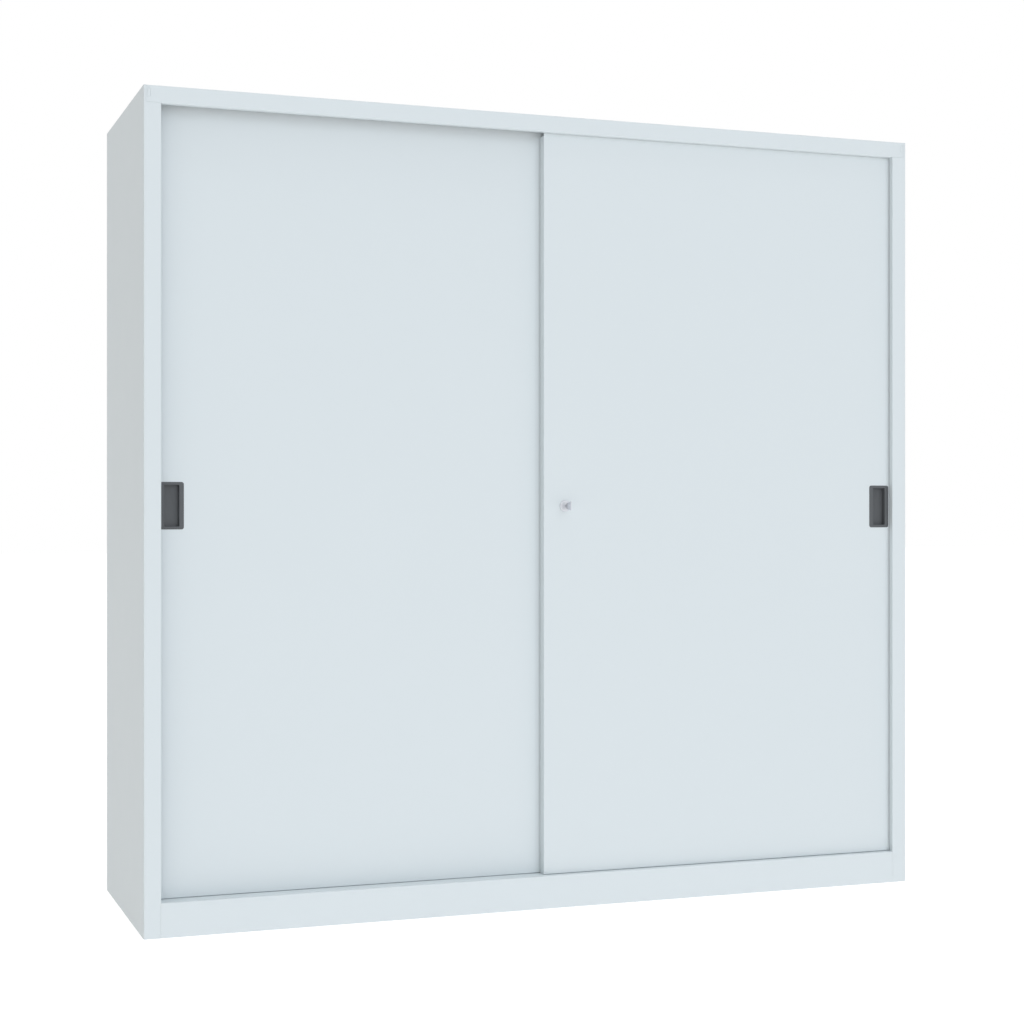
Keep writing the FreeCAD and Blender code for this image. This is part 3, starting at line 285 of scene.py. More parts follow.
# %% Ranges and colours
def between(tree, value, low, high, from_low=0.0, from_high=1.0):
    """The value moved from one range into another."""
    ranges = {"From Min": from_low, "From Max": from_high, "To Min": low, "To Max": high}
    made = node(tree, "ShaderNodeMapRange", ranges)
    tree.links.new(value, made.inputs["Value"])
    return made.outputs["Result"]


def blended(tree, factor, start, end):
    """A colour between two colours or sockets."""
    made = node(tree, "ShaderNodeMix", data_type="RGBA")
    tree.links.new(factor, made.inputs["Factor"])
    for socket, color in ((made.inputs["A"], start), (made.inputs["B"], end)):
        if isinstance(color, bpy.types.NodeSocket):
            tree.links.new(color, socket)
        else:
            socket.default_value = (*color, 1.0)
    return made.outputs["Result"]


# %% [markdown]
# The Bevel node feels round each point for other faces and gives the normal that a rounded
# edge would have. Where that differs from the true normal there is an edge, so it serves
# twice: as a mask for edges that are painted lighter, for wear and as a painted highlight,
# and as a soft edge on sheets that are drawn sharp.

# %% Edges and bump
BEVEL_SAMPLES = 6


def edge_wear_and_highlight(tree, radius, reach):
    """1 on the sharp edges of a piece, fading to 0 on its faces."""
    rounded = node(tree, "ShaderNodeBevel", {"Radius": radius}, samples=BEVEL_SAMPLES)
    flat = node(tree, "ShaderNodeNewGeometry")
    same = node(tree, "ShaderNodeVectorMath", operation="DOT_PRODUCT")
    tree.links.new(rounded.outputs["Normal"], same.inputs[0])
    tree.links.new(flat.outputs["Normal"], same.inputs[1])
    return between(tree, same.outputs["Value"], 1.0, 0.0, 1.0 - reach, 1.0)


def raise_bump(tree, shader, height, distance, soft_edge=0.0):
    """Bump of so many metres on the shader, over faces whose edges look rounded."""
    bump = node(tree, "ShaderNodeBump", {"Distance": distance})
    tree.links.new(height, bump.inputs["Height"])
    if soft_edge:
        rounded = node(tree, "ShaderNodeBevel", {"Radius": soft_edge}, samples=BEVEL_SAMPLES)
        tree.links.new(rounded.outputs["Normal"], bump.inputs["Normal"])
    tree.links.new(bump.outputs["Normal"], shader.inputs["Normal"])


# %% [markdown]
# ## Powder coat
#
# Powder paint is sprayed dry and baked. It flows into a skin with a very fine orange peel,
# pulls a little thinner over sharp edges, and is never quite the same gloss all over. So
# the colour wanders by about one percent and the roughness by a few. The sharp edges are
# painted a touch lighter, partly for the thinner paint and partly as a painted highlight.
# Patterns are counted in features to the metre, and heights and edges are in metres.

# %% The painted steel
PAINT = (0.716, 0.764, 0.782)
PAINT_CLOUD = (0.706, 0.755, 0.774)
PAINT_THIN_AND_HIGHLIGHT = (0.80, 0.84, 0.85)
PAINT_ROUGHNESS = 0.5
PAINT_GLOSS = (0.44, 0.56)
PAINT_SPECULAR = 0.2
PAINT_CLOUDS = 2.5
PAINT_GLOSS_PATCHES = 14.0
THIN_HIGHLIGHT_EDGE = 0.0008
THIN_HIGHLIGHT_REACH = 0.35
THIN_HIGHLIGHT_SHARE = 0.35
ORANGE_PEEL = 420.0
PEEL_HEIGHT = 0.00004
PAINTED_EDGE = 0.0006


def painted_steel():
    material, tree, shader = new_finish("painted_steel", PAINT, PAINT_ROUGHNESS)
    shader.inputs["Specular IOR Level"].default_value = PAINT_SPECULAR
    place = place_on_piece(tree)
    clouds = cloud(tree, place, PAINT_CLOUDS, detail=3.0)
    wander = blended(tree, clouds, PAINT, PAINT_CLOUD)
    # The sharp edges are lightened: partly thinner paint, partly a painted highlight.
    thin_and_highlight = between(tree, edge_wear_and_highlight(tree, THIN_HIGHLIGHT_EDGE, THIN_HIGHLIGHT_REACH), 0.0, THIN_HIGHLIGHT_SHARE)
    tree.links.new(blended(tree, thin_and_highlight, wander, PAINT_THIN_AND_HIGHLIGHT), shader.inputs["Base Color"])
    gloss = between(tree, cloud(tree, place, PAINT_GLOSS_PATCHES, detail=4.0), *PAINT_GLOSS)
    tree.links.new(gloss, shader.inputs["Roughness"])
    peel = cloud(tree, place, ORANGE_PEEL)
    raise_bump(tree, shader, peel, PEEL_HEIGHT, soft_edge=PAINTED_EDGE)
    return material


print("paint", PAINT, "with", ORANGE_PEEL, "bumps to the metre")


# %% [markdown]
# ## Metals that aren't painted
#
# Tracks, hangers, clips and brackets are zinc plated: a grey skin of small crystals, each
# with a tone of its own.

# %% Zinc
ZINC = (0.58, 0.60, 0.62)
ZINC_BRIGHT = (0.70, 0.71, 0.72)
ZINC_ROUGHNESS = 0.4
ZINC_GLOSS = (0.32, 0.50)
ZINC_CRYSTALS = 240.0
ZINC_GLOSS_PATCHES = 60.0
ZINC_GRAIN = 900.0
ZINC_GRAIN_HEIGHT = 0.00002
ZINC_EDGE = 0.0003


def zinc_steel():
    material, tree, shader = new_finish("zinc_steel", ZINC, ZINC_ROUGHNESS, metallic=1.0)
    place = place_on_piece(tree)
    crystals = cells(tree, place, ZINC_CRYSTALS)
    tone = between(tree, crystals.outputs["Color"], 0.0, 1.0)
    tree.links.new(blended(tree, tone, ZINC, ZINC_BRIGHT), shader.inputs["Base Color"])
    gloss = between(tree, cloud(tree, place, ZINC_GLOSS_PATCHES, detail=4.0), *ZINC_GLOSS)
    tree.links.new(gloss, shader.inputs["Roughness"])
    grain = cloud(tree, place, ZINC_GRAIN)
    raise_bump(tree, shader, grain, ZINC_GRAIN_HEIGHT, soft_edge=ZINC_EDGE)
    return material


print("zinc", ZINC, "with", ZINC_CRYSTALS, "crystals to the metre")

# %% [markdown]
# The lock is nickel plated and turned on a lathe, so fine rings run round its axis. A dull
# lacquer over the nickel scatters a part of the light, so the finish isn't all metal. The
# rings are a wave pattern, and a Mapping node puts its middle on the lock's axis.

# %% Nickel
NICKEL = (0.71, 0.73, 0.77)
NICKEL_WORN = (0.66, 0.68, 0.71)
NICKEL_ROUGHNESS = 0.45
NICKEL_GLOSS = (0.38, 0.52)
NICKEL_METAL = 0.7
NICKEL_STAINS = 220.0
LATHE_RINGS = 900.0
RING_DISTORTION = 0.4
RING_HEIGHT = 0.000006
NICKEL_EDGE = 0.0002


def lock_centre():
    """The lock's axis, from the box of its housing, with the housing's front as its start."""
    low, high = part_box("lock_housing")
    return Vector(((low.x + high.x) / 2, low.y, (low.z + high.z) / 2))


def lock_nickel():
    material, tree, shader = new_finish(
        "lock_nickel", NICKEL, NICKEL_ROUGHNESS, metallic=NICKEL_METAL
    )
    place = place_on_piece(tree, centre=lock_centre())
    rings = node(
        tree,
        "ShaderNodeTexWave",
        {"Scale": LATHE_RINGS, "Distortion": RING_DISTORTION, "Detail": 2.0},
        wave_type="RINGS",
        rings_direction="Y",
    )
    tree.links.new(place, rings.inputs["Vector"])
    stain = cloud(tree, place, NICKEL_STAINS, detail=4.0)
    tree.links.new(blended(tree, stain, NICKEL, NICKEL_WORN), shader.inputs["Base Color"])
    tree.links.new(between(tree, stain, *NICKEL_GLOSS), shader.inputs["Roughness"])
    raise_bump(tree, shader, rings.outputs["Fac"], RING_HEIGHT, soft_edge=NICKEL_EDGE)
    return material


print("nickel", NICKEL, "turned about", tuple(round(c, 4) for c in lock_centre()))

# %% [markdown]
# The key is stamped from a strip that was brushed along its length. Where its bow begins, a
# band of painted shade darkens it, standing for the shade round the key's neck. Noise that
# is stretched along Y gives the brush's strokes, and the distance from one place on the
# lock's axis gives the band of painted shade.

# %% The key's steel
KEY_STEEL = (0.74, 0.75, 0.79)
KEY_WORN = (0.64, 0.65, 0.69)
# The darkest key tone is painted shade, for the shade round the key's neck.
KEY_PAINTED_SHADE = (0.24, 0.25, 0.27)
KEY_ROUGHNESS = 0.35
KEY_GLOSS = (0.28, 0.45)
STROKES = 5000.0
STROKE_STRETCH = (1.0, 0.03, 1.0)
STROKE_HEIGHT = 0.00001
STAMPED_EDGE = 0.0002
PAINTED_SHADE_PLACE = 0.0102
PAINTED_SHADE_HALF = 0.0034
PAINTED_SHADE_CORE = 0.0016
PAINTED_SHADE_SHARE = 0.85


def key_steel():
    material, tree, shader = new_finish("key_steel", KEY_STEEL, KEY_ROUGHNESS, metallic=1.0)
    brushed = place_on_piece(tree, centre=lock_centre(), stretch=STROKE_STRETCH)
    strokes = cloud(tree, brushed, STROKES, detail=3.0)
    brushed_tone = blended(tree, strokes, KEY_STEEL, KEY_WORN)
    # Painted shade: a band that darkens the key where its bow begins.
    shoulder = place_on_piece(tree, centre=lock_centre() - Vector((0.0, PAINTED_SHADE_PLACE, 0.0)))
    along = node(tree, "ShaderNodeSeparateXYZ")
    tree.links.new(shoulder, along.inputs["Vector"])
    away = node(tree, "ShaderNodeMath", operation="ABSOLUTE")
    tree.links.new(along.outputs["Y"], away.inputs[0])
    painted_shade = between(tree, away.outputs["Value"], PAINTED_SHADE_SHARE, 0.0, PAINTED_SHADE_CORE, PAINTED_SHADE_HALF)
    tree.links.new(blended(tree, painted_shade, brushed_tone, KEY_PAINTED_SHADE), shader.inputs["Base Color"])
    tree.links.new(between(tree, strokes, *KEY_GLOSS), shader.inputs["Roughness"])
    raise_bump(tree, shader, strokes, STROKE_HEIGHT, soft_edge=STAMPED_EDGE)
    return material


print("key steel", KEY_STEEL, "painted_shade", 1000 * PAINTED_SHADE_PLACE, "mm in front of the rosette")


# %% [markdown]
# ## Plastics and rubber
#
# The pulls are moulded in a steel tool with an etched surface, which leaves a fine grain
# that hides finger marks. The edges that hands rub are painted a lighter tone, partly for
# that wear and partly as a painted highlight.

# %% The pulls' etched plastic
CHARCOAL = (0.093, 0.099, 0.105)
CHARCOAL_RUBBED_AND_HIGHLIGHT = (0.16, 0.17, 0.18)
PULL_ROUGHNESS = 0.55
PULL_GLOSS = (0.46, 0.62)
PULL_GLOSS_PATCHES = 90.0
RUBBED_HIGHLIGHT_EDGE = 0.0012
RUBBED_HIGHLIGHT_REACH = 0.5
RUBBED_HIGHLIGHT_SHARE = 0.6
ETCHED_GRAIN = 1600.0
ETCHED_HEIGHT = 0.00008


def pull_plastic():
    material, tree, shader = new_finish("pull_plastic", CHARCOAL, PULL_ROUGHNESS)
    place = place_on_piece(tree)
    # The sharp edges are lightened: partly wear, partly a painted highlight.
    rubbed_and_highlight = between(tree, edge_wear_and_highlight(tree, RUBBED_HIGHLIGHT_EDGE, RUBBED_HIGHLIGHT_REACH), 0.0, RUBBED_HIGHLIGHT_SHARE)
    tone = blended(tree, rubbed_and_highlight, CHARCOAL, CHARCOAL_RUBBED_AND_HIGHLIGHT)
    tree.links.new(tone, shader.inputs["Base Color"])
    gloss = between(tree, cloud(tree, place, PULL_GLOSS_PATCHES, detail=3.0), *PULL_GLOSS)
    tree.links.new(gloss, shader.inputs["Roughness"])
    grain = cells(tree, place, ETCHED_GRAIN, feature="SMOOTH_F1")
    raise_bump(tree, shader, grain.outputs["Distance"], ETCHED_HEIGHT)
    return material


print("pull plastic", CHARCOAL, "with", ETCHED_GRAIN, "pits to the metre")

# %% [markdown]
# Rollers and the floor guide are nylon, milky and waxy. Buffers are rubber, and the feet are
# a hard black plastic that picks up dust. All three are plain mouldings, so one function
# makes them from two tones, a roughness and the sizes of their patches and grain.

# %% Nylon, rubber and foot plastic
NYLON = (0.78, 0.77, 0.71)
NYLON_OLD = (0.70, 0.68, 0.60)
RUBBER = (0.028, 0.028, 0.030)
RUBBER_DUSTY = (0.075, 0.072, 0.068)
FOOT_BLACK = (0.035, 0.036, 0.038)
FOOT_DUSTY = (0.10, 0.098, 0.092)
MOULDED_EDGE = 0.0004
MOULDED_GLOSS_HALF = 0.06


def moulded(name, color, second, roughness, patches, grain, grain_height):
    """A plain moulded material: two tones in soft patches, and a grain."""
    material, tree, shader = new_finish(name, color, roughness)
    place = place_on_piece(tree)
    soft_patches = cloud(tree, place, patches, detail=4.0)
    tree.links.new(blended(tree, soft_patches, color, second), shader.inputs["Base Color"])
    smoother, rougher = roughness - MOULDED_GLOSS_HALF, roughness + MOULDED_GLOSS_HALF
    gloss = between(tree, soft_patches, smoother, rougher)
    tree.links.new(gloss, shader.inputs["Roughness"])
    fine_grain = cloud(tree, place, grain)
    raise_bump(tree, shader, fine_grain, grain_height, soft_edge=MOULDED_EDGE)
    return material


# %% [markdown]
# Each node of the engineering model names the material slot that it belongs to. A table from
# slot to finish dresses all of them in one loop, and the new pieces use the same table.

# %% One finish for each material slot
FINISHES = {
    "painted_steel": painted_steel(),
    "zinc_steel": zinc_steel(),
    "lock_chrome": lock_nickel(),
    "key_steel": key_steel(),
    "pull_plastic": pull_plastic(),
    "nylon": moulded(
        "nylon", NYLON, NYLON_OLD, 0.42, patches=70.0, grain=1500.0, grain_height=0.00001
    ),
    "rubber": moulded(
        "rubber", RUBBER, RUBBER_DUSTY, 0.75, patches=160.0, grain=2500.0, grain_height=0.00003
    ),
    "foot_plastic": moulded(
        "foot_plastic",
        FOOT_BLACK,
        FOOT_DUSTY,
        0.55,
        patches=90.0,
        grain=1800.0,
        grain_height=0.00004,
    ),
}
for name, steel_piece in nodes.items():
    steel_piece.data.materials.clear()
    steel_piece.data.materials.append(FINISHES[slot_of_node[name]])
print(len(FINISHES), "finishes on", len(nodes), "nodes")

# %% [markdown]
# ## From a bmesh to a piece
#
# A piece that stands for a node of the frame is drawn where the node is, takes the node's
# finish and rides on the node's body. A piece that is added, such as a weld, takes both from
# the node beside it. The faces have to point outwards and the piece has to be closed, so both
# are settled in one place. Faces that meet gently are shaded as one surface, and the others
# keep a crisp edge.

# %% Finishing a piece
MILLIMETRE = 0.001
SAME_POINT = 0.000002
CRISP_ANGLE = radians(32.0)


def finish_piece(bm, name, *stands_for, beside=None):
    """Closes the mesh, turns its faces outwards and puts it in the place of its nodes."""
    bmesh.ops.remove_doubles(bm, verts=bm.verts, dist=SAME_POINT)
    bmesh.ops.recalc_face_normals(bm, faces=bm.faces)
    for face in bm.faces:
        face.smooth = True
    for edge in bm.edges:
        edge.smooth = edge.is_manifold and edge.calc_face_angle(pi) < CRISP_ANGLE
    open_edges = sum(not edge.is_manifold for edge in bm.edges)
    mesh = bpy.data.meshes.new(name)
    bm.to_mesh(mesh)
    bm.free()
    piece = bpy.data.objects.new(name, mesh)
    bpy.context.scene.collection.objects.link(piece)
    first = beside or stands_for[0]
    mesh.materials.append(FINISHES[slot_of_node[first]])
    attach(piece, body_of_node[first])
    if stands_for:
        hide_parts(*stands_for)
    print(f"{name}: {len(mesh.polygons)} faces, {open_edges} open edges")
    return piece


def soften(bm, offset, sharper_than=35.0, segments=2):
    """Rounds every edge that turns more sharply than an angle in degrees."""
    limit = radians(sharper_than)
    edges = [e for e in bm.edges if e.is_manifold and e.calc_face_angle(0.0) > limit]
    bmesh.ops.bevel(
        bm,
        geom=edges,
        offset=offset,
        segments=segments,
        profile=0.5,
        affect="EDGES",
        material=-1,
        clamp_overlap=True,
    )


# %% [markdown]
# ## The pulls
#
# A door that slides past another can't have a handle that stands out. Its pull is a
# moulded cup pushed into a slot in the door, and only its rim lies on the paint. It could
# be cut from a block with a boolean, but a moulding is really one skin that steps up, in
# and down. So one face is grown from ring to ring: over the rim, into the mouth, down the
# drafted wall and across the floor. Each ring has its own corner radius, because the mouth's
# corners are much tighter than the rim's.

# %% A moulded cup
RIM_CORNER = 5.5 * MILLIMETRE
RIM_EDGE = 0.45 * MILLIMETRE
RIM_SLOPE = 2.6 * MILLIMETRE
RIM_STAND = 1.2 * MILLIMETRE
MOUTH_WIDTH = 35.0 * MILLIMETRE
MOUTH_LENGTH = 96.6 * MILLIMETRE
MOUTH_CORNER = 2.0 * MILLIMETRE
MOUTH_ROUND = 0.9 * MILLIMETRE
RECESS_DEPTH = 14.0 * MILLIMETRE
RECESS_DRAFT = 0.4 * MILLIMETRE
FLOOR_ROUND = 1.5 * MILLIMETRE
CUP_WALL = 2.0 * MILLIMETRE
CORNER_SEGMENTS = 8


def facing(bm, direction):
    """The largest face that points in a direction."""
    found = [face for face in bm.faces if face.normal.dot(direction) > 0.99]
    return max(found, key=lambda face: face.calc_area())


def ring(outline, inset, depth):
    """An outline of width, length and corner radius, moved inwards, and how deep it lies."""
    width, length, corner = outline
    return width - 2 * inset, length - 2 * inset, corner - inset, depth


def grow(bm, face, rings):
    """Grows a face from its own ring through all the others, with a band between two rings."""
    for was, now in zip(rings, rings[1:]):
        face = bmesh.ops.extrude_discrete_faces(bm, faces=[face])["faces"][0]
        for vert in face.verts:
            for axis, old, new in ((0, was[0], now[0]), (2, was[1], now[1])):
                before_corner_end = (abs(vert.co[axis]) - old / 2) / was[2]
                distance = new / 2 + before_corner_end * now[2]
                vert.co[axis] = copysign(distance, vert.co[axis])
            vert.co.y = now[3]
    return face


def pull_cup(door):
    low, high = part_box(f"{door}_pull_cup")
    face_depth = low.y + RIM_STAND
    back = high.y - face_depth
    rim = (high.x - low.x, high.z - low.z, RIM_CORNER)
    mouth = (MOUTH_WIDTH, MOUTH_LENGTH, MOUTH_CORNER)
    cup = (MOUTH_WIDTH + 2 * CUP_WALL, MOUTH_LENGTH + 2 * CUP_WALL, MOUTH_CORNER + CUP_WALL)
    bm = bmesh.new()
    plate = Matrix.LocRotScale((0.0, -RIM_EDGE / 2, 0.0), None, (rim[0], RIM_EDGE, rim[1]))
    bmesh.ops.create_cube(bm, size=1.0, matrix=plate)
    corners = [e for e in bm.edges if abs(e.verts[0].co.y - e.verts[1].co.y) > RIM_EDGE / 2]
    bmesh.ops.bevel(
        bm,
        geom=corners,
        offset=RIM_CORNER,
        segments=CORNER_SEGMENTS,
        profile=0.5,
        affect="EDGES",
        material=-1,
    )
    bmesh.ops.recalc_face_normals(bm, faces=bm.faces)

    rings = [ring(rim, 0.0, -RIM_EDGE)]
    for share in (0.35, 0.7, 1.0):
        rise = (RIM_STAND - RIM_EDGE) * sin(share * pi / 2)
        rings.append(ring(rim, RIM_SLOPE * share, -RIM_EDGE - rise))
    for share in (0.0, 0.35, 0.7, 1.0):
        outside = MOUTH_ROUND * (1 - sin(share * pi / 2))
        depth = -RIM_STAND + MOUTH_ROUND * (1 - cos(share * pi / 2))
        rings.append(ring(mouth, -outside, depth))
    for share in (0.0, 0.25, 0.5, 0.75, 1.0):
        inset = RECESS_DRAFT + FLOOR_ROUND * (1 - cos(share * pi / 2))
        rise = FLOOR_ROUND * (1 - sin(share * pi / 2))
        rings.append(ring(mouth, inset, RECESS_DEPTH - RIM_STAND - rise))
    grow(bm, facing(bm, Vector((0.0, -1.0, 0.0))), rings)

    rings = [ring(rim, 0.0, 0.0), ring(cup, 0.0, 0.0), ring(cup, 0.0, back - FLOOR_ROUND)]
    for share in (0.5, 1.0):
        inset = FLOOR_ROUND * (1 - cos(share * pi / 2))
        rings.append(ring(cup, inset, back - FLOOR_ROUND * (1 - sin(share * pi / 2))))
    grow(bm, facing(bm, Vector((0.0, 1.0, 0.0))), rings)
    centre = Vector(((low.x + high.x) / 2, face_depth, (low.z + high.z) / 2))
    bmesh.ops.translate(bm, vec=centre, verts=bm.verts)
    finish_piece(bm, f"{door}_pull_moulding", f"{door}_pull_cup")


pull_cup("front")
pull_cup("rear")

# %% [markdown]
# ## Turned pieces
#
# The lock's sleeve and barrel, the rollers and the feet are all made by turning, so half of
# their section is drawn once and spun about their axis. Drawing the section as a few points
# and rounding the edges afterwards keeps its sizes easy to read.


# %% Spinning a section
def spun(section, segments, closed):
    """A body of revolution about Z from (radius, height) points."""
    bm = bmesh.new()
    points = [bm.verts.new((radius, 0.0, height)) for radius, height in section]
    pairs = list(zip(points, points[1:]))
    if closed:
        pairs.append((points[-1], points[0]))
    edges = [bm.edges.new(pair) for pair in pairs]
    bmesh.ops.spin(
        bm,
        geom=points + edges,
        cent=(0.0, 0.0, 0.0),
        axis=(0.0, 0.0, 1.0),
        dvec=(0.0, 0.0, 0.0),
        angle=tau,
        steps=segments,
        use_merge=True,
    )
    bmesh.ops.remove_doubles(bm, verts=bm.verts, dist=SAME_POINT)
    bmesh.ops.recalc_face_normals(bm, faces=bm.faces)
    return bm


def set_along_y(bm, place):
    """Lays a spun body's axis along +Y, with its start at a place."""
    turn = Matrix.Rotation(-pi / 2, 4, "X")
    bmesh.ops.transform(bm, matrix=Matrix.Translation(place) @ turn, verts=bm.verts)


# %% [markdown]
# ## The lock
#
# The rosette is a low dome with a flat front round the barrel. Behind it a sleeve goes
# through the door. The barrel stands half a millimetre proud. Its chamfer is drawn in the
# section and not bevelled afterwards, because a bevel would also open the bore's edge and
# show a dark ring round the plug.

# %% Sleeve, rosette and barrel
ROSETTE_RADIUS = 14.5 * MILLIMETRE
ROSETTE_FRONT_RADIUS = 10.6 * MILLIMETRE
ROSETTE_HEIGHT = 4.0 * MILLIMETRE
ROSETTE_RIM = 1.2 * MILLIMETRE
SLEEVE_RADIUS = 12.0 * MILLIMETRE
SLEEVE_BORE = 9.55 * MILLIMETRE
SLEEVE_END_BORE = 4.05 * MILLIMETRE
SLEEVE_END = 1.5 * MILLIMETRE
SLEEVE_EDGE = 0.2 * MILLIMETRE
DOME_STEPS = 5
BARREL_CHAMFER = 0.4 * MILLIMETRE
BARREL_SOFTENING = 0.06 * MILLIMETRE
PLUG_BORE = 6.05 * MILLIMETRE
PLUG_LENGTH = 14.0 * MILLIMETRE
TURNED_SEGMENTS = 72

low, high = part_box("lock_housing")
sleeve_end = high.y - low.y
inner_end = sleeve_end - SLEEVE_END
dome = []
for step in range(DOME_STEPS + 1):
    turn = step / DOME_STEPS * pi / 2
    spread = ROSETTE_RADIUS - ROSETTE_FRONT_RADIUS
    fall = ROSETTE_HEIGHT - ROSETTE_RIM
    dome.append((ROSETTE_FRONT_RADIUS + spread * sin(turn), fall * (1 - cos(turn))))
section = [(SLEEVE_BORE, 0.0), *dome]
section += [
    (ROSETTE_RADIUS, ROSETTE_HEIGHT),
    (SLEEVE_RADIUS, ROSETTE_HEIGHT),
    (SLEEVE_RADIUS, sleeve_end),
    (SLEEVE_END_BORE, sleeve_end),
    (SLEEVE_END_BORE, inner_end),
    (SLEEVE_BORE, inner_end),
]
bm = spun(section, TURNED_SEGMENTS, closed=True)
soften(bm, SLEEVE_EDGE)
set_along_y(bm, lock_centre())
finish_piece(bm, "lock_rosette_and_sleeve", "lock_housing")

low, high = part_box("lock_barrel")
barrel_radius = (high.x - low.x) / 2
barrel_length = high.y - low.y
section = [
    (0.0, PLUG_LENGTH),
    (PLUG_BORE, PLUG_LENGTH),
    (PLUG_BORE, 0.0),
    (barrel_radius - BARREL_CHAMFER, 0.0),
    (barrel_radius, BARREL_CHAMFER),
    (barrel_radius, barrel_length),
    (0.0, barrel_length),
]
bm = spun(section, TURNED_SEGMENTS, closed=False)
soften(bm, BARREL_SOFTENING)
centre = lock_centre()
set_along_y(bm, Vector((centre.x, low.y, centre.z)))
finish_piece(bm, "lock_barrel_turned", "lock_barrel")

# %% [markdown]
# ## The key
#
# A flat key is stamped, so its outline is drawn as one face, with the ring hole filled
# round in the same step, and the face is then given the strip's thickness. The stamping
# leaves edges that are slightly rounded.

# %% A stamped key
NECK_HALF = 3.6 * MILLIMETRE
NECK_LENGTH = 8.0 * MILLIMETRE
BLADE_HALF = 3.5 * MILLIMETRE
BOW_ROOT_HALF = 7.5 * MILLIMETRE
BOW_CORNER = 3.0 * MILLIMETRE
RING_RADIUS = 2.5 * MILLIMETRE
RING_INSET = 7.0 * MILLIMETRE
RING_SEGMENTS = 28
BOW_CORNER_SEGMENTS = 6
KEY_EDGE = 0.3 * MILLIMETRE


def stamped_key():
    low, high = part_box("key")
    plug_low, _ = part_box("lock_plug")
    centre = lock_centre()
    thickness = high.x - low.x
    bow_start = plug_low.y - NECK_LENGTH
    bow_end = low.y
    bow_half = (high.z - low.z) / 2
    half_outline = [
        (high.y, BLADE_HALF),
        (plug_low.y, BLADE_HALF),
        (plug_low.y, NECK_HALF),
        (bow_start, NECK_HALF),
        (bow_start, BOW_ROOT_HALF),
        (bow_end, bow_half),
    ]
    outline = half_outline + [(y, -z) for y, z in reversed(half_outline)]
    bm = bmesh.new()
    corners = [bm.verts.new((low.x, y, centre.z + z)) for y, z in outline]
    for start, end in zip(corners, corners[1:] + corners[:1]):
        bm.edges.new((start, end))
    far = [v for v in corners if abs(v.co.y - bow_end) < SAME_POINT]
    bmesh.ops.bevel(
        bm,
        geom=far,
        offset=BOW_CORNER,
        segments=BOW_CORNER_SEGMENTS,
        profile=0.5,
        affect="VERTICES",
        material=-1,
    )
    hole = Matrix.Translation((low.x, bow_end + RING_INSET, centre.z)) @ Matrix.Rotation(
        pi / 2, 4, "Y"
    )
    bmesh.ops.create_circle(
        bm, cap_ends=False, radius=RING_RADIUS, segments=RING_SEGMENTS, matrix=hole
    )
    bmesh.ops.triangle_fill(bm, use_beauty=True, edges=bm.edges)
    bmesh.ops.dissolve_limit(
        bm,
        angle_limit=radians(1.0),
        verts=bm.verts,
        edges=bm.edges,
        use_dissolve_boundaries=False,
    )
    made = bmesh.ops.extrude_face_region(bm, geom=bm.faces[:])["geom"]
    moved = [item for item in made if isinstance(item, bmesh.types.BMVert)]
    bmesh.ops.translate(bm, vec=(thickness, 0.0, 0.0), verts=moved)
    bmesh.ops.recalc_face_normals(bm, faces=bm.faces)
    soften(bm, KEY_EDGE, sharper_than=50.0)
    finish_piece(bm, "key_stamped", "key")


stamped_key()

# %% [markdown]
# ## Rollers
#
# Each door hangs on two nylon wheels that run on the upturned lip of a track. The groove
# keeps them on the lip. A moulded wheel isn't solid: its sides are dished between the hub
# and the tyre.

# %% Four grooved wheels
HUB_RADIUS = 4.6 * MILLIMETRE
TYRE_INNER = 6.9 * MILLIMETRE
DISH_DEPTH = 1.4 * MILLIMETRE
AXLE_BORE = 3.05 * MILLIMETRE
GROOVE_RADIUS = 8.2 * MILLIMETRE
GROOVE_HALF = 1.25 * MILLIMETRE
GROOVE_FLARE = 0.35 * MILLIMETRE
WHEEL_EDGE = 0.4 * MILLIMETRE
WHEEL_SEGMENTS = 56


def wheel(name):
    low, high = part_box(name)
    radius = (high.x - low.x) / 2
    width = high.y - low.y
    middle = width / 2
    section = [
        (AXLE_BORE, 0.0),
        (HUB_RADIUS, 0.0),
        (HUB_RADIUS, DISH_DEPTH),
        (TYRE_INNER, DISH_DEPTH),
        (TYRE_INNER, 0.0),
        (radius, 0.0),
        (radius, middle - GROOVE_HALF - GROOVE_FLARE),
        (GROOVE_RADIUS, middle - GROOVE_HALF),
    ]
    section += [(r, width - height) for r, height in reversed(section)]
    bm = spun(section, WHEEL_SEGMENTS, closed=True)
    soften(bm, WHEEL_EDGE)
    set_along_y(bm, Vector(((low.x + high.x) / 2, low.y, (low.z + high.z) / 2)))
    finish_piece(bm, f"{name}_wheel", name)


for door in ("front", "rear"):
    for end in ("left", "right"):
        wheel(f"{door}_roller_{end}")

# %% [markdown]
# ## Levelling feet
#
# A foot is a moulded glide on a threaded stud. A thread is a spin that climbs: the section
# of one turn, a ridge and its valley, goes round many times and rises by one pitch each
# time. The glide has ribs that let fingers turn it.

# %% Glides and threaded studs
GLIDE_THICKNESS = 8.0 * MILLIMETRE
GLIDE_EDGE = 1.6 * MILLIMETRE
STUD_RADIUS = 5.0 * MILLIMETRE
THREAD_PITCH = 1.5 * MILLIMETRE
THREAD_DEPTH = 0.8 * MILLIMETRE
CREST_START, CREST_END = 0.45, 0.55
STEPS_PER_TURN = 24
GLIDE_RIBS = 24
STEPS_PER_RIB = 4
RIB_DEPTH = 0.6 * MILLIMETRE
RIB_VALLEY = -0.5


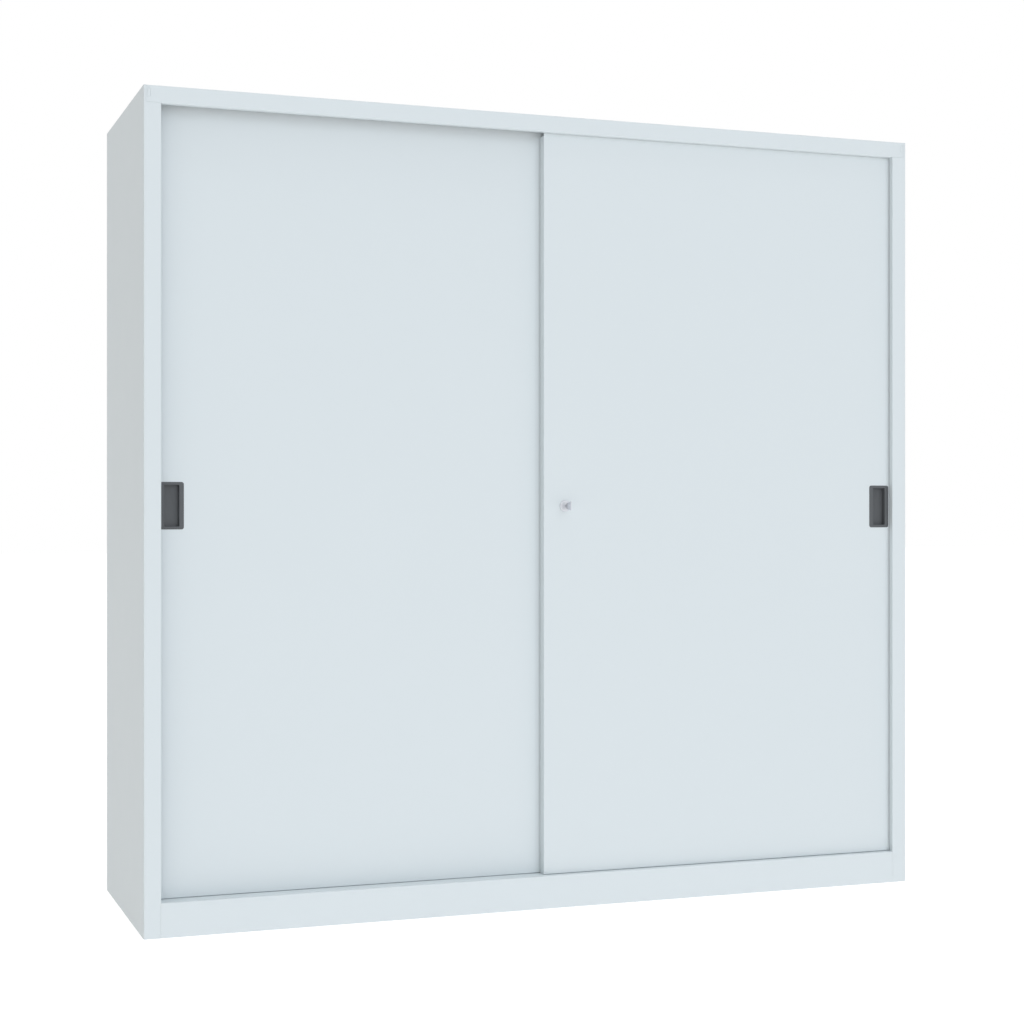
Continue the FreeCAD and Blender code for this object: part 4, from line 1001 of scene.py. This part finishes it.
def add_thread(bm, start, end):
    """A climbing ridge from one height to another, closed at both ends."""
    turns = int((end - start) / THREAD_PITCH) - 1
    valley = STUD_RADIUS - THREAD_DEPTH
    points = [
        bm.verts.new((radius, 0.0, start + height))
        for radius, height in (
            (valley, 0.0),
            (STUD_RADIUS, CREST_START * THREAD_PITCH),
            (STUD_RADIUS, CREST_END * THREAD_PITCH),
            (valley, THREAD_PITCH),
        )
    ]
    edges = [bm.edges.new(pair) for pair in zip(points, points[1:])]
    bmesh.ops.spin(
        bm,
        geom=points + edges,
        cent=(0.0, 0.0, 0.0),
        axis=(0.0, 0.0, 1.0),
        dvec=(0.0, 0.0, THREAD_PITCH / STEPS_PER_TURN),
        angle=tau * turns,
        steps=STEPS_PER_TURN * turns,
        use_merge=False,
    )
    bmesh.ops.remove_doubles(bm, verts=bm.verts, dist=SAME_POINT)
    bmesh.ops.holes_fill(bm, edges=[e for e in bm.edges if e.is_boundary], sides=0)


def glide(name):
    low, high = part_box(name)
    radius = (high.x - low.x) / 2
    height = high.z - low.z
    bm = spun(
        [(0.0, 0.0), (radius, 0.0), (radius, GLIDE_THICKNESS), (0.0, GLIDE_THICKNESS)],
        GLIDE_RIBS * STEPS_PER_RIB,
        closed=False,
    )
    for vert in bm.verts:
        turn = Vector(vert.co.xy).angle_signed(Vector((1.0, 0.0)), 0.0)
        if vert.co.xy.length > radius / 2 and cos(turn * GLIDE_RIBS) < RIB_VALLEY:
            vert.co.xy *= (radius - RIB_DEPTH) / radius
    soften(bm, GLIDE_EDGE, sharper_than=60.0, segments=3)
    add_thread(bm, GLIDE_THICKNESS - THREAD_PITCH, height)
    place = Vector(((low.x + high.x) / 2, (low.y + high.y) / 2, low.z))
    bmesh.ops.translate(bm, vec=place, verts=bm.verts)
    finish_piece(bm, f"{name}_glide", name)


for depth in ("front", "rear"):
    for side in ("left", "right"):
        glide(f"foot_{depth}_{side}")

# %% [markdown]
# ## Buffers
#
# A rubber block at each end of a track stops the roller without a bang. Its edges are
# soft, and the face that the roller meets has a raised pad.

# %% Rubber buffers in the tracks
BUFFER_LENGTH = 12.0 * MILLIMETRE
BUFFER_EDGE = 0.8 * MILLIMETRE
PAD_BORDER = 2.2 * MILLIMETRE
PAD_RISE = 0.8 * MILLIMETRE


def add_buffer(bm, low, high, towards):
    """One block whose pad faces along +X or -X."""
    size = high - low
    size.x -= PAD_RISE
    middle = (low + high) / 2
    middle.x -= towards * PAD_RISE / 2
    block = Matrix.LocRotScale(middle, None, size)
    made = bmesh.ops.create_cube(bm, size=1.0, matrix=block)["verts"]
    faces = {face for vert in made for face in vert.link_faces}
    bmesh.ops.recalc_face_normals(bm, faces=list(faces))
    pad = max(faces, key=lambda face: face.normal.x * towards)
    bmesh.ops.inset_region(bm, faces=[pad], thickness=PAD_BORDER, use_even_offset=True)
    raised = bmesh.ops.extrude_discrete_faces(bm, faces=[pad])["faces"][0]
    bmesh.ops.translate(bm, vec=(towards * PAD_RISE, 0.0, 0.0), verts=raised.verts)


for door in ("front", "rear"):
    low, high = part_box(f"{door}_track_buffers")
    bm = bmesh.new()
    inner_low = Vector((low.x + BUFFER_LENGTH, high.y, high.z))
    inner_high = Vector((high.x - BUFFER_LENGTH, low.y, low.z))
    add_buffer(bm, low, inner_low, 1.0)
    add_buffer(bm, inner_high, high, -1.0)
    soften(bm, BUFFER_EDGE, sharper_than=60.0)
    finish_piece(bm, f"{door}_buffer_pair", f"{door}_track_buffers")

# %% [markdown]
# ## Bolts and nuts
#
# A hexagon nut is turned first, which gives its face a shallow cone, and then its six flats
# are cut. The same two steps make it here: a section is spun, six planes cut it, and each
# cut, which leaves an open loop, is filled with one flat face. The corners come out as on a
# real nut, with a small arc at each. One bolt or nut is made, and copies stand in its row.

# %% Six flats and rows of copies
FLATS = 6
CORNER_LAND = 0.985
FACE_CIRCLE = 0.84
CONE_SLOPE = 0.58
HEXAGON_SEGMENTS = 48


def cut_hexagon(bm, corner_radius):
    """Cuts six flats on a body that was spun about Z, with its corners along X."""
    flat = corner_radius * cos(pi / FLATS)
    for side in range(FLATS):
        turn = tau * (side + 0.5) / FLATS
        outwards = Vector((cos(turn), sin(turn), 0.0))
        cut = bmesh.ops.bisect_plane(
            bm,
            geom=bm.verts[:] + bm.edges[:] + bm.faces[:],
            plane_co=outwards * flat,
            plane_no=outwards,
            clear_outer=True,
        )["geom_cut"]
        rim = [item for item in cut if isinstance(item, bmesh.types.BMEdge)]
        bmesh.ops.edgeloop_fill(bm, edges=rim)


def repeat(bm, x=0.0, y=0.0):
    """Adds a copy of all that is there, moved along X and Y."""
    copies = bmesh.ops.duplicate(bm, geom=bm.verts[:] + bm.edges[:] + bm.faces[:])["geom"]
    moved = [item for item in copies if isinstance(item, bmesh.types.BMVert)]
    bmesh.ops.translate(bm, vec=(x, y, 0.0), verts=moved)


# %% Bolts of the hangers and nuts of the feet
BOLT_SPACING = 30.0 * MILLIMETRE
BOLT_HEAD = 2.5 * MILLIMETRE
BOLT_SHANK = 2.5 * MILLIMETRE
BOLT_TIP = 0.4 * MILLIMETRE
NUT_BORE = 5.05 * MILLIMETRE
NUT_CORNER = 9.8 * MILLIMETRE


def hanger_bolts(name):
    low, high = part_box(name)
    corner = (high.z - low.z) / 2
    length = high.y - low.y
    face = corner * FACE_CIRCLE
    land = corner * CORNER_LAND
    section = [
        (0.0, 0.0),
        (face, 0.0),
        (land, (land - face) * CONE_SLOPE),
        (land, BOLT_HEAD),
        (BOLT_SHANK, BOLT_HEAD),
        (BOLT_SHANK, length - BOLT_TIP),
        (BOLT_SHANK - BOLT_TIP, length),
        (0.0, length),
    ]
    bm = spun(section, HEXAGON_SEGMENTS, closed=False)
    cut_hexagon(bm, corner)
    set_along_y(bm, Vector((low.x + corner, low.y, (low.z + high.z) / 2)))
    repeat(bm, x=BOLT_SPACING)
    repeat(bm, x=high.x - low.x - 2 * corner - BOLT_SPACING)
    finish_piece(bm, f"{name}_hexagon", name)


def foot_nuts(name):
    low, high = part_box(name)
    thickness = high.z - low.z
    corner = NUT_CORNER
    face = corner * FACE_CIRCLE
    land = corner * CORNER_LAND
    drop = (land - face) * CONE_SLOPE
    half_section = [(NUT_BORE, 0.0), (face, 0.0), (land, drop)]
    section = half_section + [(r, thickness - height) for r, height in reversed(half_section)]
    bm = spun(section, HEXAGON_SEGMENTS, closed=True)
    cut_hexagon(bm, corner)
    flat = corner * cos(pi / FLATS)
    bmesh.ops.translate(bm, vec=(low.x + corner, low.y + flat, low.z), verts=bm.verts)
    repeat(bm, y=high.y - low.y - 2 * flat)
    repeat(bm, x=high.x - low.x - 2 * corner)
    finish_piece(bm, f"{name}_hexagon", name)


hanger_bolts("front_hanger_bolts")
hanger_bolts("rear_hanger_bolts")
foot_nuts("foot_nuts")

# %% [markdown]
# ## Ground welds
#
# The plinth is welded between the two posts, and the welds are ground flush before the paint
# goes on, so that no seam shows. The sheets could be joined with a boolean, but a slim bead
# that fills the bend of the post is enough and leaves both sheets as they are.

# %% A bead at each end of the plinth
POST_WIDTH = 40.0 * MILLIMETRE
POST_BEND = 2.0 * MILLIMETRE
BEND_MIDDLE = 0.73 * MILLIMETRE
SHEET = 1.0 * MILLIMETRE
SEAM = 0.3 * MILLIMETRE
BEAD_BELOW_TOP = 1.5 * MILLIMETRE


def weld_bead(side, post_edge, inwards):
    """A bead from the floor up, between a post's bend and the end of the plinth's face."""
    low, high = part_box("plinth")
    outline = [
        (-POST_BEND, 0.0),
        (SEAM, 0.0),
        (SEAM, SHEET),
        (0.0, POST_BEND),
        (-SEAM, POST_BEND),
        (-BEND_MIDDLE, BEND_MIDDLE),
    ]
    bm = bmesh.new()
    corners = [bm.verts.new((post_edge + x * inwards, low.y + y, low.z)) for x, y in outline]
    foot = bm.faces.new(corners)
    made = bmesh.ops.extrude_face_region(bm, geom=[foot])["geom"]
    moved = [item for item in made if isinstance(item, bmesh.types.BMVert)]
    height = high.z - low.z - BEAD_BELOW_TOP
    bmesh.ops.translate(bm, vec=(0.0, 0.0, height), verts=moved)
    finish_piece(bm, f"plinth_weld_{side}", beside="plinth")


weld_bead("left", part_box("left_side_panel")[0].x + POST_WIDTH, 1.0)
weld_bead("right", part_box("right_side_panel")[1].x - POST_WIDTH, -1.0)

# %% [markdown]
# ## Checking the size
#
# The dressed cupboard must be the same size as the engineering model, so both boxes are
# measured and kept side by side.

# %% The two boxes
shown_low, shown_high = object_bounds()
growth = (shown_high - shown_low) - (cad_high - cad_low)
print("grown by", [round(side / MILLIMETRE, 3) for side in growth], "mm")
